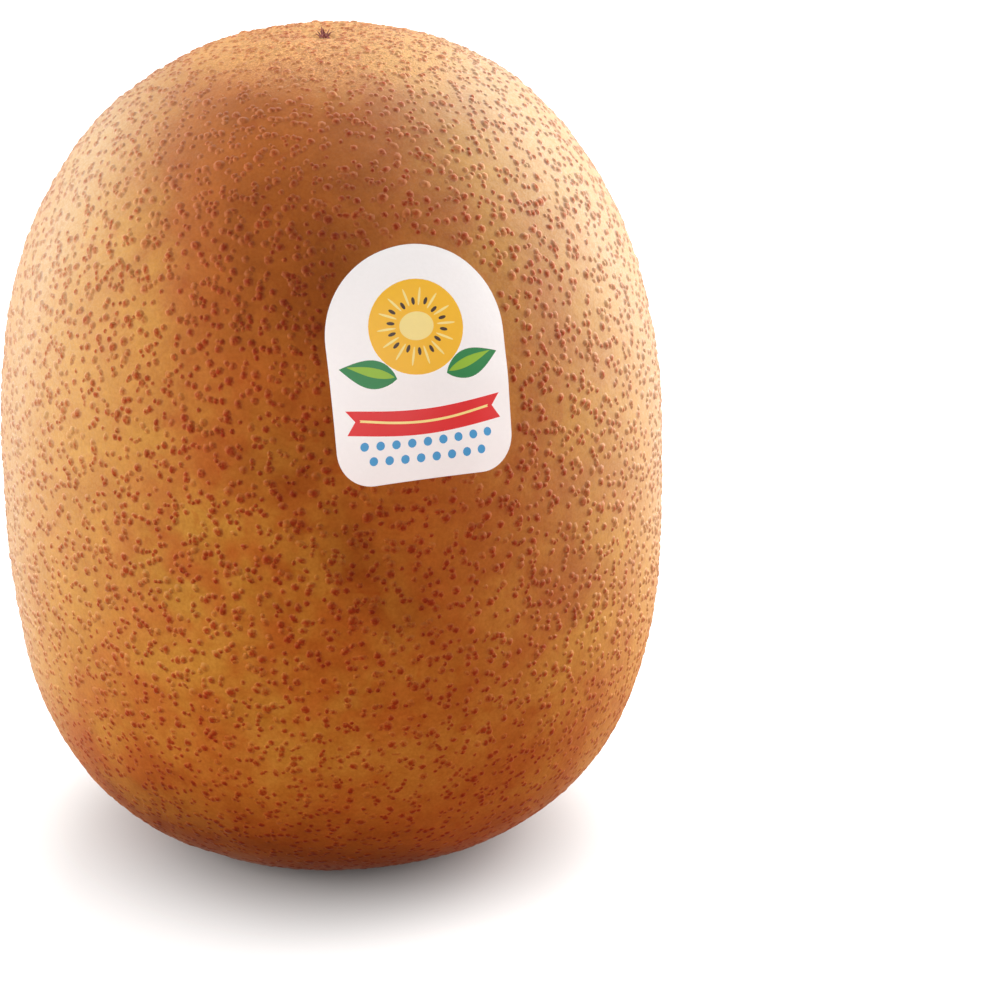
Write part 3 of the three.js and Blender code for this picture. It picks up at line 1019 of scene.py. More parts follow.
@dataclass(frozen=True)
class Ripening:
    """How the skin's hue changes over the fruit, with painted shade and painted highlights among its
    patches.

    Args:
        base: the value of russet_and_painted_shade where no patch reaches.
        russet_and_painted_shade: patches that raise or lower that value, for blush and for painted shade and
            light.
        olive: olive patches.
        pale: patches under a pale tangle, a painted highlight on both flanks and the upper right.
        crumbs_and_highlight: how strong the crumbs at the crown are, which also paint a highlight on its
            top.
        fuzz_range: how near the blossom end they start, and where they are strongest.
    """

    base: float = 0.42
    # Blush and painted shade: the patches on the front and the base paint shade, the negative ones paint
    # light, and those on the back are blush.
    russet_and_painted_shade: tuple[Patch, ...] = (
        Patch((0.25, -0.95, 0.1), 0.75, 0.44),
        Patch((-0.18, -0.93, 0.25), 0.27, 0.38),
        Patch((0.05, -0.98, -0.02), 0.28, 0.52),
        Patch((-0.05, -0.88, -0.45), 0.36, -0.34),
        Patch((-0.24, -0.55, 0.80), 0.42, 0.70),
        Patch((-0.05, -0.80, 0.60), 0.26, 0.60),
        Patch((-0.56, -0.63, 0.53), 0.34, -0.42),
        Patch((-0.1, -0.5, -0.85), 0.50, 1.6),
        Patch((-0.45, -0.5, -0.74), 0.28, 0.95),
        Patch((-0.5, 0.8, 0.2), 0.6, 0.50),
        Patch((0.1, 0.95, 0.0), 0.8, 0.75),
        Patch((-1.0, -0.3, 0.2), 0.55, -0.38),
        Patch((0.9, -0.2, 0.5), 0.55, -0.30),
        Patch((0.95, -0.3, -0.05), 0.45, -0.30),
        Patch((0.6, 0.75, -0.2), 0.5, -0.30),
    )
    olive: tuple[Patch, ...] = (
        Patch((-0.05, -0.97, -0.24), 0.36, 0.60),
        Patch((-0.40, -0.91, 0.12), 0.30, 0.80),
        Patch((-0.75, -0.6, -0.3), 0.5, 0.7),
        Patch((0.4, -0.75, 0.5), 0.3, 0.4),
        Patch((0.5, 0.8, 0.2), 0.45, 0.6),
        Patch((-0.1, 0.9, -0.4), 0.45, 0.7),
    )
    # Painted highlight: paler skin where the side lights graze both flanks and the upper right.
    pale: tuple[Patch, ...] = (
        Patch((-0.85, -0.42, 0.25), 0.50, 0.28),
        Patch((-0.97, 0.03, 0.1), 0.48, 1.1),
        Patch((-0.92, 0.0, -0.38), 0.38, 0.9),
        Patch((-0.76, -0.06, 0.64), 0.42, 1.1),
        Patch((0.85, -0.42, 0.2), 0.50, 0.22),
        Patch((0.96, 0.10, 0.1), 0.48, 1.1),
        Patch((0.62, 0.02, 0.77), 0.54, 1.4),
    )
    # The crown's crumbs, which also paint a highlight on its top.
    crumbs_and_highlight: float = 0.8
    crumbs_and_highlight_range: tuple[float, float] = (0.88, 0.985)

    @staticmethod
    def _add(directions: Points, patches: tuple[Patch, ...], start: float) -> Points:
        """Add up patches.

        Args:
            directions: unit vectors, one a row.
            patches: the patches.
            start: the value where no patch reaches.

        Returns:
            One value a direction, from 0 to 2.
        """
        total = np.full(len(directions), start)
        for patch in patches:
            total += patch.at(directions)
        return np.clip(total, 0, 2)

    def paint(self, piece: bpy.types.Object, directions: Points) -> None:
        """Store the skin's hue, with its painted shade and painted highlights, on a piece.

        Args:
            piece: the piece, with one direction a vertex.
            directions: unit vectors, one a row.
        """
        MeshMaker.paint(piece, "russet_and_painted_shade", self._add(directions, self.russet_and_painted_shade, self.base))
        MeshMaker.paint(piece, "olive", self._add(directions, self.olive, 0.0))
        MeshMaker.paint(piece, "pale", np.minimum(self._add(directions, self.pale, 0.0), 1))
        MeshMaker.paint(piece, "crumbs_and_highlight", self.crumbs_and_highlight * smooth_step(*self.crumbs_and_highlight_range, directions[:, 2]))


@dataclass
class Skin:
    """The skin between the pores, as one closed surface.

    Args:
        form: the fruit's form.
        ripening: its hues.
        cells: squares along each edge of the cube that the surface is spread from.
    """

    form: FruitForm
    ripening: Ripening
    cells: int = 106

    def build(self) -> bpy.types.Object:
        """Build the surface.

        Returns:
            The piece.
        """
        directions, faces = self._ball()
        piece = MeshMaker.build("skin", self.form.skin(directions), [faces])
        self.ripening.paint(piece, directions)
        return piece

    def _ball(self) -> tuple[Points, Points]:
        """Spread a cube's squares evenly over a ball, with shared edges merged.

        Returns:
            Unit vectors, one a row, and the faces.
        """
        share = np.tan((2 * np.arange(self.cells + 1) / self.cells - 1) * math.pi / 4)
        u, v = (grid.ravel() for grid in np.meshgrid(share, share, indexing="ij"))
        out = np.ones(len(u))
        number = np.arange(len(u)).reshape(self.cells + 1, self.cells + 1)
        square = np.stack([number[:-1, :-1], number[1:, :-1], number[1:, 1:], number[:-1, 1:]], axis=2)
        square = square.reshape(-1, 4)
        sides, faces = [], []
        for axis in range(3):
            for sign in (1.0, -1.0):
                columns = [None, None, None]
                columns[axis] = sign * out
                columns[(axis + 1) % 3] = sign * u
                columns[(axis + 2) % 3] = v
                faces.append(square + len(sides) * len(u))
                sides.append(np.stack(columns, axis=1))
        corners = np.concatenate(sides)
        _, first, merged = np.unique(np.round(corners, 6), axis=0, return_index=True, return_inverse=True)
        return unit(corners[first]), merged.ravel()[np.concatenate(faces)]


@dataclass
class Pores:
    """A set of pores, one a row in each array.

    Args:
        directions: where they are, as unit vectors.
        radius: the radius of each foot in mm.
        stretch: how much longer than wide each is.
        turn: which way each is turned, as an angle.
        height: how high each stands in mm.
        strength: how dark each is.
    """

    directions: Points
    radius: Points
    stretch: Points
    turn: Points
    height: Points
    strength: Points

    def some(self, kept: Points) -> "Pores":
        """Return the pores that are kept."""
        return Pores(*(getattr(self, name)[kept] for name in self.__dataclass_fields__))

    def joined(self, more: "Pores") -> "Pores":
        """Return these pores and some more."""
        names = self.__dataclass_fields__
        return Pores(*(np.concatenate([getattr(self, name), getattr(more, name)]) for name in names))


@dataclass(frozen=True)
class PoreSize:
    """One size of scattered pore.

    Args:
        name: what its pieces are called.
        count: how many are spread over the whole fruit before some are left out.
        radius: smallest and largest radius of its foot in mm, before both ends of the fruit reduce it.
        jitter: how far each may stray from its even place, in mm.
        partners: share of them that have a smaller partner grown against them.
        sides: sides of each dome.
        rings: shares of the radius at which each dome has a ring, from the foot inwards.
        seed: what its random draws start from.
    """

    name: str
    count: int
    radius: tuple[float, float]
    jitter: float
    partners: float
    sides: int
    rings: tuple[float, ...]
    seed: int


@dataclass
class PoreField:
    """The raised corky pores: large ones at the solid's places, and many smaller ones between them.

    Args:
        form: the fruit's form.
        seat: the label's place, which hides the pores under it.
        ripening: the skin's hues.
        large_count: how many places there are for large pores before some are left out.
        large_radius: smallest and largest radius of a large pore's foot in mm.
        steepness: how much steeper than they are the domes are shaded.
        large_jitter: how far each large pore may stray from its even place, in mm.
        large_sides: sides of each large dome.
        large_rings: shares of the radius at which a large dome has a ring, from the foot inwards.
        sizes: the sizes of scattered pore.
        sink: how far each foot is sunk into the skin in mm.
        rest_clearance: how far above the floor pores start, in mm.
        tuft_clearance: how far from the dried flower's axis they start, in mm.
        label_clearance: how far from the label they start, as a share of their radius.
        rubbed: where the pores are rubbed pale.
        search: how far away a pore's neighbours are looked for, in mm.
        overlap: how near two pores may be, as a share of the sum of their radii.
        crown_range: the heights of a direction between which the crown starts.
        base_range: the depths of a direction between which the base starts.
        low_range: the depths of a direction between which pores become lower.
        flank_range: how far sideways a direction points where the flanks start.
    """

    form: FruitForm
    seat: LabelSeat
    ripening: Ripening
    large_count: int = 880
    large_radius: tuple[float, float] = (0.42, 0.60)
    steepness: float = 1.55
    large_jitter: float = 0.9
    large_sides: int = 10
    large_rings: tuple[float, ...] = (1.0, 0.80, 0.58, 0.32)
    sizes: tuple[PoreSize, ...] = (
        PoreSize("middle_pores", 8600, (0.35, 0.58), 0.75, 0.30, 7, (1.0, 0.80, 0.50), 11),
        PoreSize("fine_pores", 8800, (0.28, 0.42), 0.65, 0.15, 6, (1.0, 0.80, 0.50), 12),
    )
    sink: float = 0.02
    rest_clearance: float = 0.4
    tuft_clearance: float = 1.4
    label_clearance: float = 0.85
    rubbed: Patch = Patch((-0.30, -0.45, 0.84), 0.36, 0.5)
    search: float = 1.5
    overlap: float = 0.50
    crown_range: tuple[float, float] = (0.62, 0.95)
    base_range: tuple[float, float] = (0.1, 0.75)
    low_range: tuple[float, float] = (0.1, 0.6)
    flank_range: tuple[float, float] = (0.45, 0.95)

    def pieces(self) -> list[bpy.types.Object]:
        """Build all the pores, those of each scattered size as a front and a back piece.

        Returns:
            The pieces.
        """
        placed = [self.large()]
        pieces = [self.build("large_pores", placed[0], self.large_sides, self.large_rings)]
        for size in self.sizes:
            placed.append(self.scattered(size, placed))
            front = placed[-1].directions[:, 1] < 0
            for side, chosen in (("front", front), ("back", ~front)):
                pores = placed[-1].some(chosen)
                pieces.append(self.build(f"{size.name}_{side}", pores, size.sides, size.rings))
        return pieces

    def large(self) -> Pores:
        """Place the large pores by the rule for places that the solid follows.

        Returns:
            The pores.
        """
        even = EvenSpread(self.form).directions(self.large_count)
        index = np.arange(self.large_count)
        stray = self.large_jitter * scatter(index, 1)
        directions = self.form.beside(even, stray, 2 * math.pi * scatter(index, 2))
        low, high = self.large_radius
        radius = low + (high - low) * scatter(index, 3) ** 2
        pores = Pores(
            directions=directions,
            radius=radius,
            stretch=1 + 0.12 * scatter(index, 6),
            turn=2 * math.pi * scatter(index, 5),
            height=radius * (0.24 + 0.1 * scatter(index, 4)) * self._prominence(directions),
            strength=(0.8 + 0.3 * scatter(index, 7)) * self._boldness(directions),
        )
        return pores.some(self._free(directions, radius))

    def scattered(self, size: PoreSize, others: list[Pores]) -> Pores:
        """Scatter the pores of one size between those that are there.

        Args:
            size: the size.
            others: the pores that they keep off.

        Returns:
            The pores.
        """
        draw = np.random.default_rng(size.seed)
        even = EvenSpread(self.form, 0.5).directions(size.count)
        count = len(even)
        stray = size.jitter * np.sqrt(draw.uniform(size=count))
        directions = self.form.beside(even, stray, draw.uniform(0, 2 * math.pi, size=count))
        low, high = size.radius
        crown, base = self._crown(directions), self._base(directions)
        radius = (low + (high - low) * draw.beta(1.5, 2.2, size=count)) * (1 - 0.18 * crown - 0.08 * base)
        pores = Pores(
            directions=directions,
            radius=radius,
            stretch=1 + 0.3 * draw.uniform(size=count) ** 3,
            turn=draw.uniform(0, 2 * math.pi, size=count),
            height=radius * draw.uniform(0.18, 0.34, size=count) * self._prominence(directions),
            strength=np.clip(draw.normal(0.92, 0.25, size=count), 0.3, 1.15) * self._boldness(directions),
        )
        clusters = Unevenness(5.0, 0.13, size.seed).at(self.form.smooth(directions))
        kept = draw.uniform(size=count) < 0.97 - 0.05 * base + clusters
        pores = pores.some(kept & self._free(directions, radius))
        for other in others:
            pores = pores.some(self._apart(pores, other))
        return self._with_partners(pores, size.partners, draw)

    def _with_partners(self, pores: Pores, share: float, draw: np.random.Generator) -> Pores:
        """Grow a smaller pore against some of the pores.

        Args:
            pores: the pores.
            share: share of them that get a partner.
            draw: the random draws.

        Returns:
            The pores and their partners.
        """
        twins = pores.some(draw.uniform(size=len(pores.radius)) < share)
        step = twins.radius * draw.uniform(0.95, 1.45, size=len(twins.radius))
        twins.directions = self.form.beside(twins.directions, step, twins.turn)
        twins.radius = twins.radius * draw.uniform(0.65, 0.95, size=len(twins.radius))
        twins.height = twins.height * 0.85
        return pores.joined(twins.some(self._free(twins.directions, twins.radius)))

    def _crown(self, directions: Points) -> Points:
        """Return how much each direction belongs to the crown, from 0 to 1."""
        return smooth_step(*self.crown_range, directions[:, 2])

    def _base(self, directions: Points) -> Points:
        """Return how much each direction belongs to the base, from 0 to 1."""
        return smooth_step(*self.base_range, -directions[:, 2])

    def _boldness(self, directions: Points) -> Points:
        """Return how dark pores are, as a share: less at the crown, where rubbed and on both flanks."""
        flank = smooth_step(*self.flank_range, np.abs(directions[:, 0]))
        return (1 - 0.15 * self._crown(directions)) * (1 - 0.3 * flank) * (1 - self.rubbed.at(directions))

    def _prominence(self, directions: Points) -> Points:
        """Return how high pores stand, as a share: a little more at the crown, much less at the base."""
        low = smooth_step(*self.low_range, -directions[:, 2])
        return (1 + 0.1 * self._crown(directions)) * (1 - 0.65 * low)

    def _free(self, directions: Points, radius: Points) -> Points:
        """Tell which pores are clear of the label, the dried flower and the rest spot.

        Args:
            directions: where they are, as unit vectors.
            radius: their radii in mm.

        Returns:
            True or False for each pore.
        """
        points = self.form.smooth(directions)
        crown = points[:, 2] > self.form.girth_height
        in_socket = crown & (self.form.from_blossom(points) < self.tuft_clearance)
        in_pit = ~crown & (np.hypot(points[:, 0], points[:, 1]) < self.form.rest_ring_radius)
        standing = points[:, 2] > self.rest_clearance
        return standing & ~in_socket & ~in_pit & ~self.seat.inside(points, self.label_clearance * radius)

    def _apart(self, pores: Pores, others: Pores) -> Points:
        """Tell which pores stand clear of all the others, but for some overlap.

        Args:
            pores: the pores.
            others: the pores that they keep off.

        Returns:
            True or False for each pore.
        """
        points = self.form.smooth(pores.directions)
        apart = np.ones(len(points), bool)
        for middle, reach in zip(self.form.smooth(others.directions), others.radius):
            near = np.flatnonzero(np.abs(points - middle).max(axis=1) < self.search)
            gap = np.linalg.norm(points[near] - middle, axis=1) - self.overlap * (reach + pores.radius[near])
            apart[near[gap < 0]] = False
        return apart

    def build(self, name: str, pores: Pores, sides: int, rings: tuple[float, ...]) -> bpy.types.Object:
        """Raise pores as closed low domes whose foot is sunk into the skin.

        Args:
            name: the piece's name.
            pores: the pores.
            sides: how many sides each has.
            rings: shares of the radius at which each has a ring, from the foot inwards.

        Returns:
            The piece.
        """
        count = len(pores.radius)
        middle = self.form.skin(pores.directions)
        outward = self.form.normals(pores.directions)
        first, second = sideways(outward)
        spin = 2 * math.pi * np.arange(sides) / sides
        ragged = 1 + 0.06 * np.sin(3 * spin[None, :] + 5 * pores.turn[:, None])
        across = np.cos(spin)[None, :] * (pores.radius * pores.stretch)[:, None] * ragged
        along = np.sin(spin)[None, :] * (pores.radius / pores.stretch)[:, None] * ragged
        cos, sin = np.cos(pores.turn)[:, None], np.sin(pores.turn)[:, None]
        u, v = across * cos - along * sin, across * sin + along * cos
        ring_uv = [np.stack([u * share, v * share], axis=2) for share in rings]
        uv = np.concatenate([*ring_uv, np.zeros((count, 1, 2))], axis=1)
        share = np.concatenate([np.repeat(rings, sides), [0.0]])
        flat = middle[:, None] + uv[:, :, 0:1] * first[:, None] + uv[:, :, 1:2] * second[:, None]
        directions = self.form.direction_towards(flat.reshape(-1, 3))
        base, normals = self.form.skin(directions), self.form.normals(directions)
        rise = self._profile(share)[None, :] * pores.height[:, None] - self.sink * (share >= 1)
        points = base + normals * rise.reshape(-1, 1)
        slope = self._slope(share)[None, :] * (self.steepness * pores.height / pores.radius)[:, None]
        spread = uv[:, :, 0:1] * first[:, None] + uv[:, :, 1:2] * second[:, None]
        length = np.maximum(np.linalg.norm(spread, axis=2, keepdims=True), 1e-9)
        tilted = normals.reshape(count, -1, 3) + spread / length * slope[:, :, None]
        piece = MeshMaker.build(name, points, MeshMaker.domes(count, sides, len(rings)))
        MeshMaker.bend_light(piece, unit(tilted.reshape(-1, 3)))
        spot = (1 - share**1.3)[None, :] * pores.strength[:, None]
        # Painted highlight: a pale ring on each pore's flank.
        rim = np.exp(-(((share - 0.78) / 0.14) ** 2))[None, :] * pores.strength[:, None]
        MeshMaker.paint(piece, "spot", spot.ravel())
        MeshMaker.paint(piece, "rim", rim.ravel())
        self.ripening.paint(piece, directions)
        return piece

    @staticmethod
    def _profile(share: Points) -> Points:
        """Return a pore's height at shares of its radius, as a share of its full height."""
        return 1 - smooth_step(0.35, 1.0, share)

    @staticmethod
    def _slope(share: Points) -> Points:
        """Return how steeply the profile falls at shares of the radius."""
        flank = np.clip((share - 0.35) / 0.65, 0, 1)
        return 6 / 0.65 * flank * (1 - flank)


@dataclass
class HairField:
    """The fine hairs that are left on the skin near the blossom end.

    Args:
        form: the fruit's form.
        seat: the label's place, which they keep off.
        tries: how many places are drawn over the whole fruit, most of which have no hair.
        most: the most hairs that are kept.
        crown: how near the blossom end hairs start, and where they are densest.
        length: shortest and longest hair in mm.
        radius: radius of a hair's root in mm.
        sides: sides of each hair.
        taper: places along each hair where it has a ring, and its thickness there, as shares.
        label_margin: how far from the label they start, in mm.
        seed: what their random draws start from.
    """

    form: FruitForm
    seat: LabelSeat
    tries: int = 30800
    most: int = 2200
    crown: tuple[float, float] = (0.86, 0.99)
    length: tuple[float, float] = (0.2, 0.5)
    radius: float = 0.024
    sides: int = 3
    taper: tuple[tuple[float, float], ...] = ((0.0, 1.0), (0.55, 0.8))
    label_margin: float = 0.5
    seed: int = 23

    def build(self) -> bpy.types.Object:
        """Build the hairs as closed needles bent along the skin.

        Returns:
            The piece.
        """
        draw = np.random.default_rng(self.seed)
        directions = unit(draw.normal(size=(self.tries, 3)))
        crown = smooth_step(*self.crown, directions[:, 2])
        kept = draw.uniform(size=len(directions)) < crown
        kept &= ~self.seat.inside(self.form.smooth(directions), self.label_margin)
        directions = directions[kept][: self.most]
        count = len(directions)
        middle, normal = self.form.skin(directions), self.form.normals(directions)
        first, second = sideways(normal)
        turn = draw.normal(0.5 * math.pi, 0.9, size=count)[:, None]
        ahead = first * np.cos(turn) + second * np.sin(turn)
        beside = np.cross(normal, ahead)
        low, high = self.length
        length = (low + (high - low) * draw.uniform(size=count) ** 1.6)[:, None]
        curl = draw.normal(0, 0.25, size=count)[:, None]
        lift = draw.uniform(0.1, 0.45, size=count)[:, None]
        spin = 2 * math.pi * np.arange(self.sides) / self.sides
        cos, sin = np.cos(spin)[None, :, None], np.sin(spin)[None, :, None]
        rings = []
        for share, thin in self.taper:
            line = middle + self._bend(share, length, ahead, beside, normal, curl, lift)
            across = beside[:, None] * cos + normal[:, None] * sin
            rings.append(line[:, None] + across * self.radius * thin)
        tip = middle + self._bend(1.0, length, ahead, beside, normal, curl, lift)
        needles = np.concatenate([*rings, tip[:, None]], axis=1).reshape(-1, 3)
        return MeshMaker.build("skin_hairs", needles, MeshMaker.domes(count, self.sides, len(self.taper)))

    @staticmethod
    def _bend(
        share: float,
        length: Points,
        ahead: Points,
        beside: Points,
        normal: Points,
        curl: Points,
        lift: Points,
    ) -> Points:
        """Return how far each hair's middle line is from its root at a share of its length."""
        arch = lift * math.sin(2.4 * share) - 0.02 * (1 - share)
        return length * (ahead * share + beside * curl * share**2 + normal * arch * 0.5)


# ---- dried styles -------------------------------------------------------------------------------


@dataclass
class DriedStyles:
    """The withered styles of the flower, in their socket at the blossom end.

    Args:
        form: the fruit's form.
        count: how many threads there are.
        core_radius: radius of the stub in mm.
        core_rise: how far the stub stands out of its socket in mm.
        core_sides: sides of the stub.
        root_radius: radius of a thread's root in mm.
        length: shortest and longest thread in mm.
        steps: points along each thread.
        ragged: how the stub's side is roughened, as a share of its radius.
        frayed: how all but its foot is roughened up and down, in mm.
        seed: what the threads' random draws start from.
    """

    form: FruitForm
    count: int = 15
    core_radius: float = 0.42
    core_rise: float = 0.3
    core_sides: int = 28
    root_radius: float = 0.1
    length: tuple[float, float] = (0.4, 0.85)
    steps: int = 9
    ragged: Unevenness = Unevenness(0.45, 0.10, 33)
    frayed: Unevenness = Unevenness(0.3, 0.05, 34)
    seed: int = 31

    def build(self) -> bpy.types.Object:
        """Build the stub and its bent threads as one piece.

        Returns:
            The piece.
        """
        pole = np.array([[self.form.blossom_offset / self.form.half_width, 0.0, 1.0]])
        foot = self.form.smooth(unit(pole))[0]
        mouth = self.form.socket_depth
        draw = np.random.default_rng(self.seed)
        parts = [self._core(mouth)]
        for index in range(self.count):
            parts.append(self._thread(index, mouth, draw))
        points, faces = MeshMaker.joined(parts)
        return MeshMaker.build("dried_flower", points + foot, faces)

    def _core(self, mouth: float) -> tuple[Points, list[Points]]:
        """Make the ragged stub in the middle of the socket.

        Args:
            mouth: how far the socket's mouth is above its floor, in mm.

        Returns:
            The points and the faces.
        """
        heights = np.linspace(0.0, mouth + self.core_rise, 10)
        middle = np.stack([0 * heights, 0 * heights, heights], axis=1)
        swell = self.core_radius * (0.8 + 0.3 * np.sin(math.pi * heights / heights[-1]))
        swell[-1] *= 0.55
        radii = np.stack([swell, swell], axis=1)
        points, faces = MeshMaker.tube(middle, radii, self.core_sides, np.array([1.0, 0, 0]))
        points[:, :2] *= (1 + self.ragged.at(points))[:, None]
        points[:, 2] += self.frayed.at(points) * (points[:, 2] > 0.1)
        return points, faces

    def _thread(self, index: int, mouth: float, draw: np.random.Generator) -> tuple[Points, list[Points]]:
        """Make one bent, tapering style.

        Args:
            index: its number, which turns it round the stub.
            mouth: how far the socket's mouth is above its floor, in mm.
            draw: the random draws.

        Returns:
            The points and the faces.
        """
        turn = index * GOLDEN_ANGLE + draw.uniform(-0.4, 0.4)
        lean = draw.uniform(0.1, 0.9)
        length = draw.uniform(*self.length)
        share = np.linspace(0, 1, self.steps)
        outward = np.array([math.cos(turn), math.sin(turn), 0.0])
        beside = np.array([-math.sin(turn), math.cos(turn), 0.0])
        droop = lean + draw.uniform(0.1, 0.9) * share
        stride = length / (self.steps - 1)
        out = 0.5 * self.core_radius + np.cumsum(np.sin(droop)) * stride
        up = mouth + np.cumsum(np.cos(droop)) * stride
        kink = draw.uniform(-0.25, 0.25) * length * np.sin(draw.uniform(1.5, 4.0) * share)
        path = out[:, None] * outward + kink[:, None] * beside + np.stack([0 * up, 0 * up, up], axis=1)
        radius = self.root_radius * (1 - 0.75 * share) * (1 + 0.25 * np.sin(9 * share + index))
        return MeshMaker.tube(path, np.stack([radius, 0.7 * radius], axis=1), 7, beside)


# ---- stem scar ----------------------------------------------------------------------------------


@dataclass
class StemScar:
    """The woody scar of the stalk, ridged like a button, with what is left of five sepals.

    Args:
        form: the fruit's form.
        gap: how far its top is below the pit's floor, in mm.
        radius: radius of the button in mm.
        thickness: its thickness in mm.
        sepals: how many sepals there are.
        sepal_reach: how far they reach from the middle, at most, in mm.
        sepal_half_width: half the width of a sepal's root in mm.
        sepal_thickness: thickness of a sepal's root in mm.
        sides: points round the button.
        curl: how the sepals are roughened up and down, in mm.
    """

    form: FruitForm
    gap: float = 0.3
    radius: float = 2.5
    thickness: float = 0.66
    sepals: int = 5
    sepal_reach: float = 3.7
    sepal_half_width: float = 0.62
    sepal_thickness: float = 0.26
    sides: int = 96
    curl: Unevenness = Unevenness(0.8, 0.03, 41)

    def build(self) -> bpy.types.Object:
        """Build the button and its sepals as one piece.

        Returns:
            The piece.
        """
        top = self.form.pit_depth - self.gap
        parts = [self._button(top)]
        index = np.arange(self.sepals)
        turns = 2 * math.pi * (index + 0.25 * scatter(index, 21)) / self.sepals
        reaches = self.sepal_reach * (0.86 + 0.14 * scatter(index, 22))
        parts.extend(self._sepal(turn, reach, top) for turn, reach in zip(turns, reaches))
        points, faces = MeshMaker.joined(parts)
        return MeshMaker.build("stalk_scar", points, faces)

    def _button(self, top: float) -> tuple[Points, list[Points]]:
        """Turn the ridged button and roughen it with radial wood rays.

        Args:
            top: height of its top above the rest spot in mm.

        Returns:
            The points and the faces.
        """
        face = top - self.thickness
        radii = np.array([0.02, 0.12, 0.26, 0.34, 0.42, 0.55, 0.68, 0.78, 0.88, 0.97, 1.0, 0.96, 0.9])
        worn = [0.05, 0.03, 0.0, 0.13, 0.24, 0.15, 0.06, 0.03, 0.05, 0.18, 0.3]
        heights = np.array([*worn, self.thickness, 0.68])
        turn = 2 * math.pi * np.arange(self.sides) / self.sides
        rays = 0.05 * np.sin(23 * turn) + 0.04 * np.sin(41 * turn + 1.3)
        spread = self.radius * radii[:, None] * (1 + 0.03 * np.sin(7 * turn + 0.6))[None, :]
        carved = rays[None, :] * np.where(heights < self.thickness, radii, 0)[:, None]
        height = face + heights[:, None] + carved
        points = np.stack([spread * np.cos(turn), spread * np.sin(turn), height], axis=2).reshape(-1, 3)
        number = np.arange(len(radii) * self.sides).reshape(len(radii), self.sides)
        after = np.roll(number, -1, axis=1)
        walls = np.stack([number[:-1], after[:-1], after[1:], number[1:]], axis=2).reshape(-1, 4)
        return points, [walls[:, ::-1], number[0][None, ::-1], number[-1][None, :]]

    def _sepal(self, turn: float, reach: float, top: float) -> tuple[Points, list[Points]]:
        """Make one dried, curled sepal.

        Args:
            turn: which way it points, as an angle.
            reach: how far it reaches from the middle in mm.
            top: height of the button's top above the rest spot in mm.

        Returns:
            The points and the faces.
        """
        outward = np.array([math.cos(turn), math.sin(turn), 0.0])
        across = np.array([-math.sin(turn), math.cos(turn), 0.0])
        share = np.linspace(0, 1, 10)
        radius = 0.7 * self.radius + share * (reach - 0.7 * self.radius)
        level = top - 0.55 * self.sepal_thickness - 0.12 * share**2
        path = radius[:, None] * outward + np.stack([0 * level, 0 * level, level], axis=1)
        width = self.sepal_half_width * (1 - 0.72 * share**1.5)
        thick = 0.5 * self.sepal_thickness * (1 - 0.45 * share)
        points, faces = MeshMaker.tube(path, np.stack([width, thick], axis=1), 14, across)
        points[:, 2] += self.curl.at(points)
        return points, faces


# ---- label --------------------------------------------------------------------------------------


@dataclass(frozen=True)
class Print:
    """One printed shape of the label. Later ones lie on top.

    Args:
        ink: its ink.
        outline: its closed outline on the flat sheet in mm, one point a row.
    """

    ink: Ink
    outline: Points


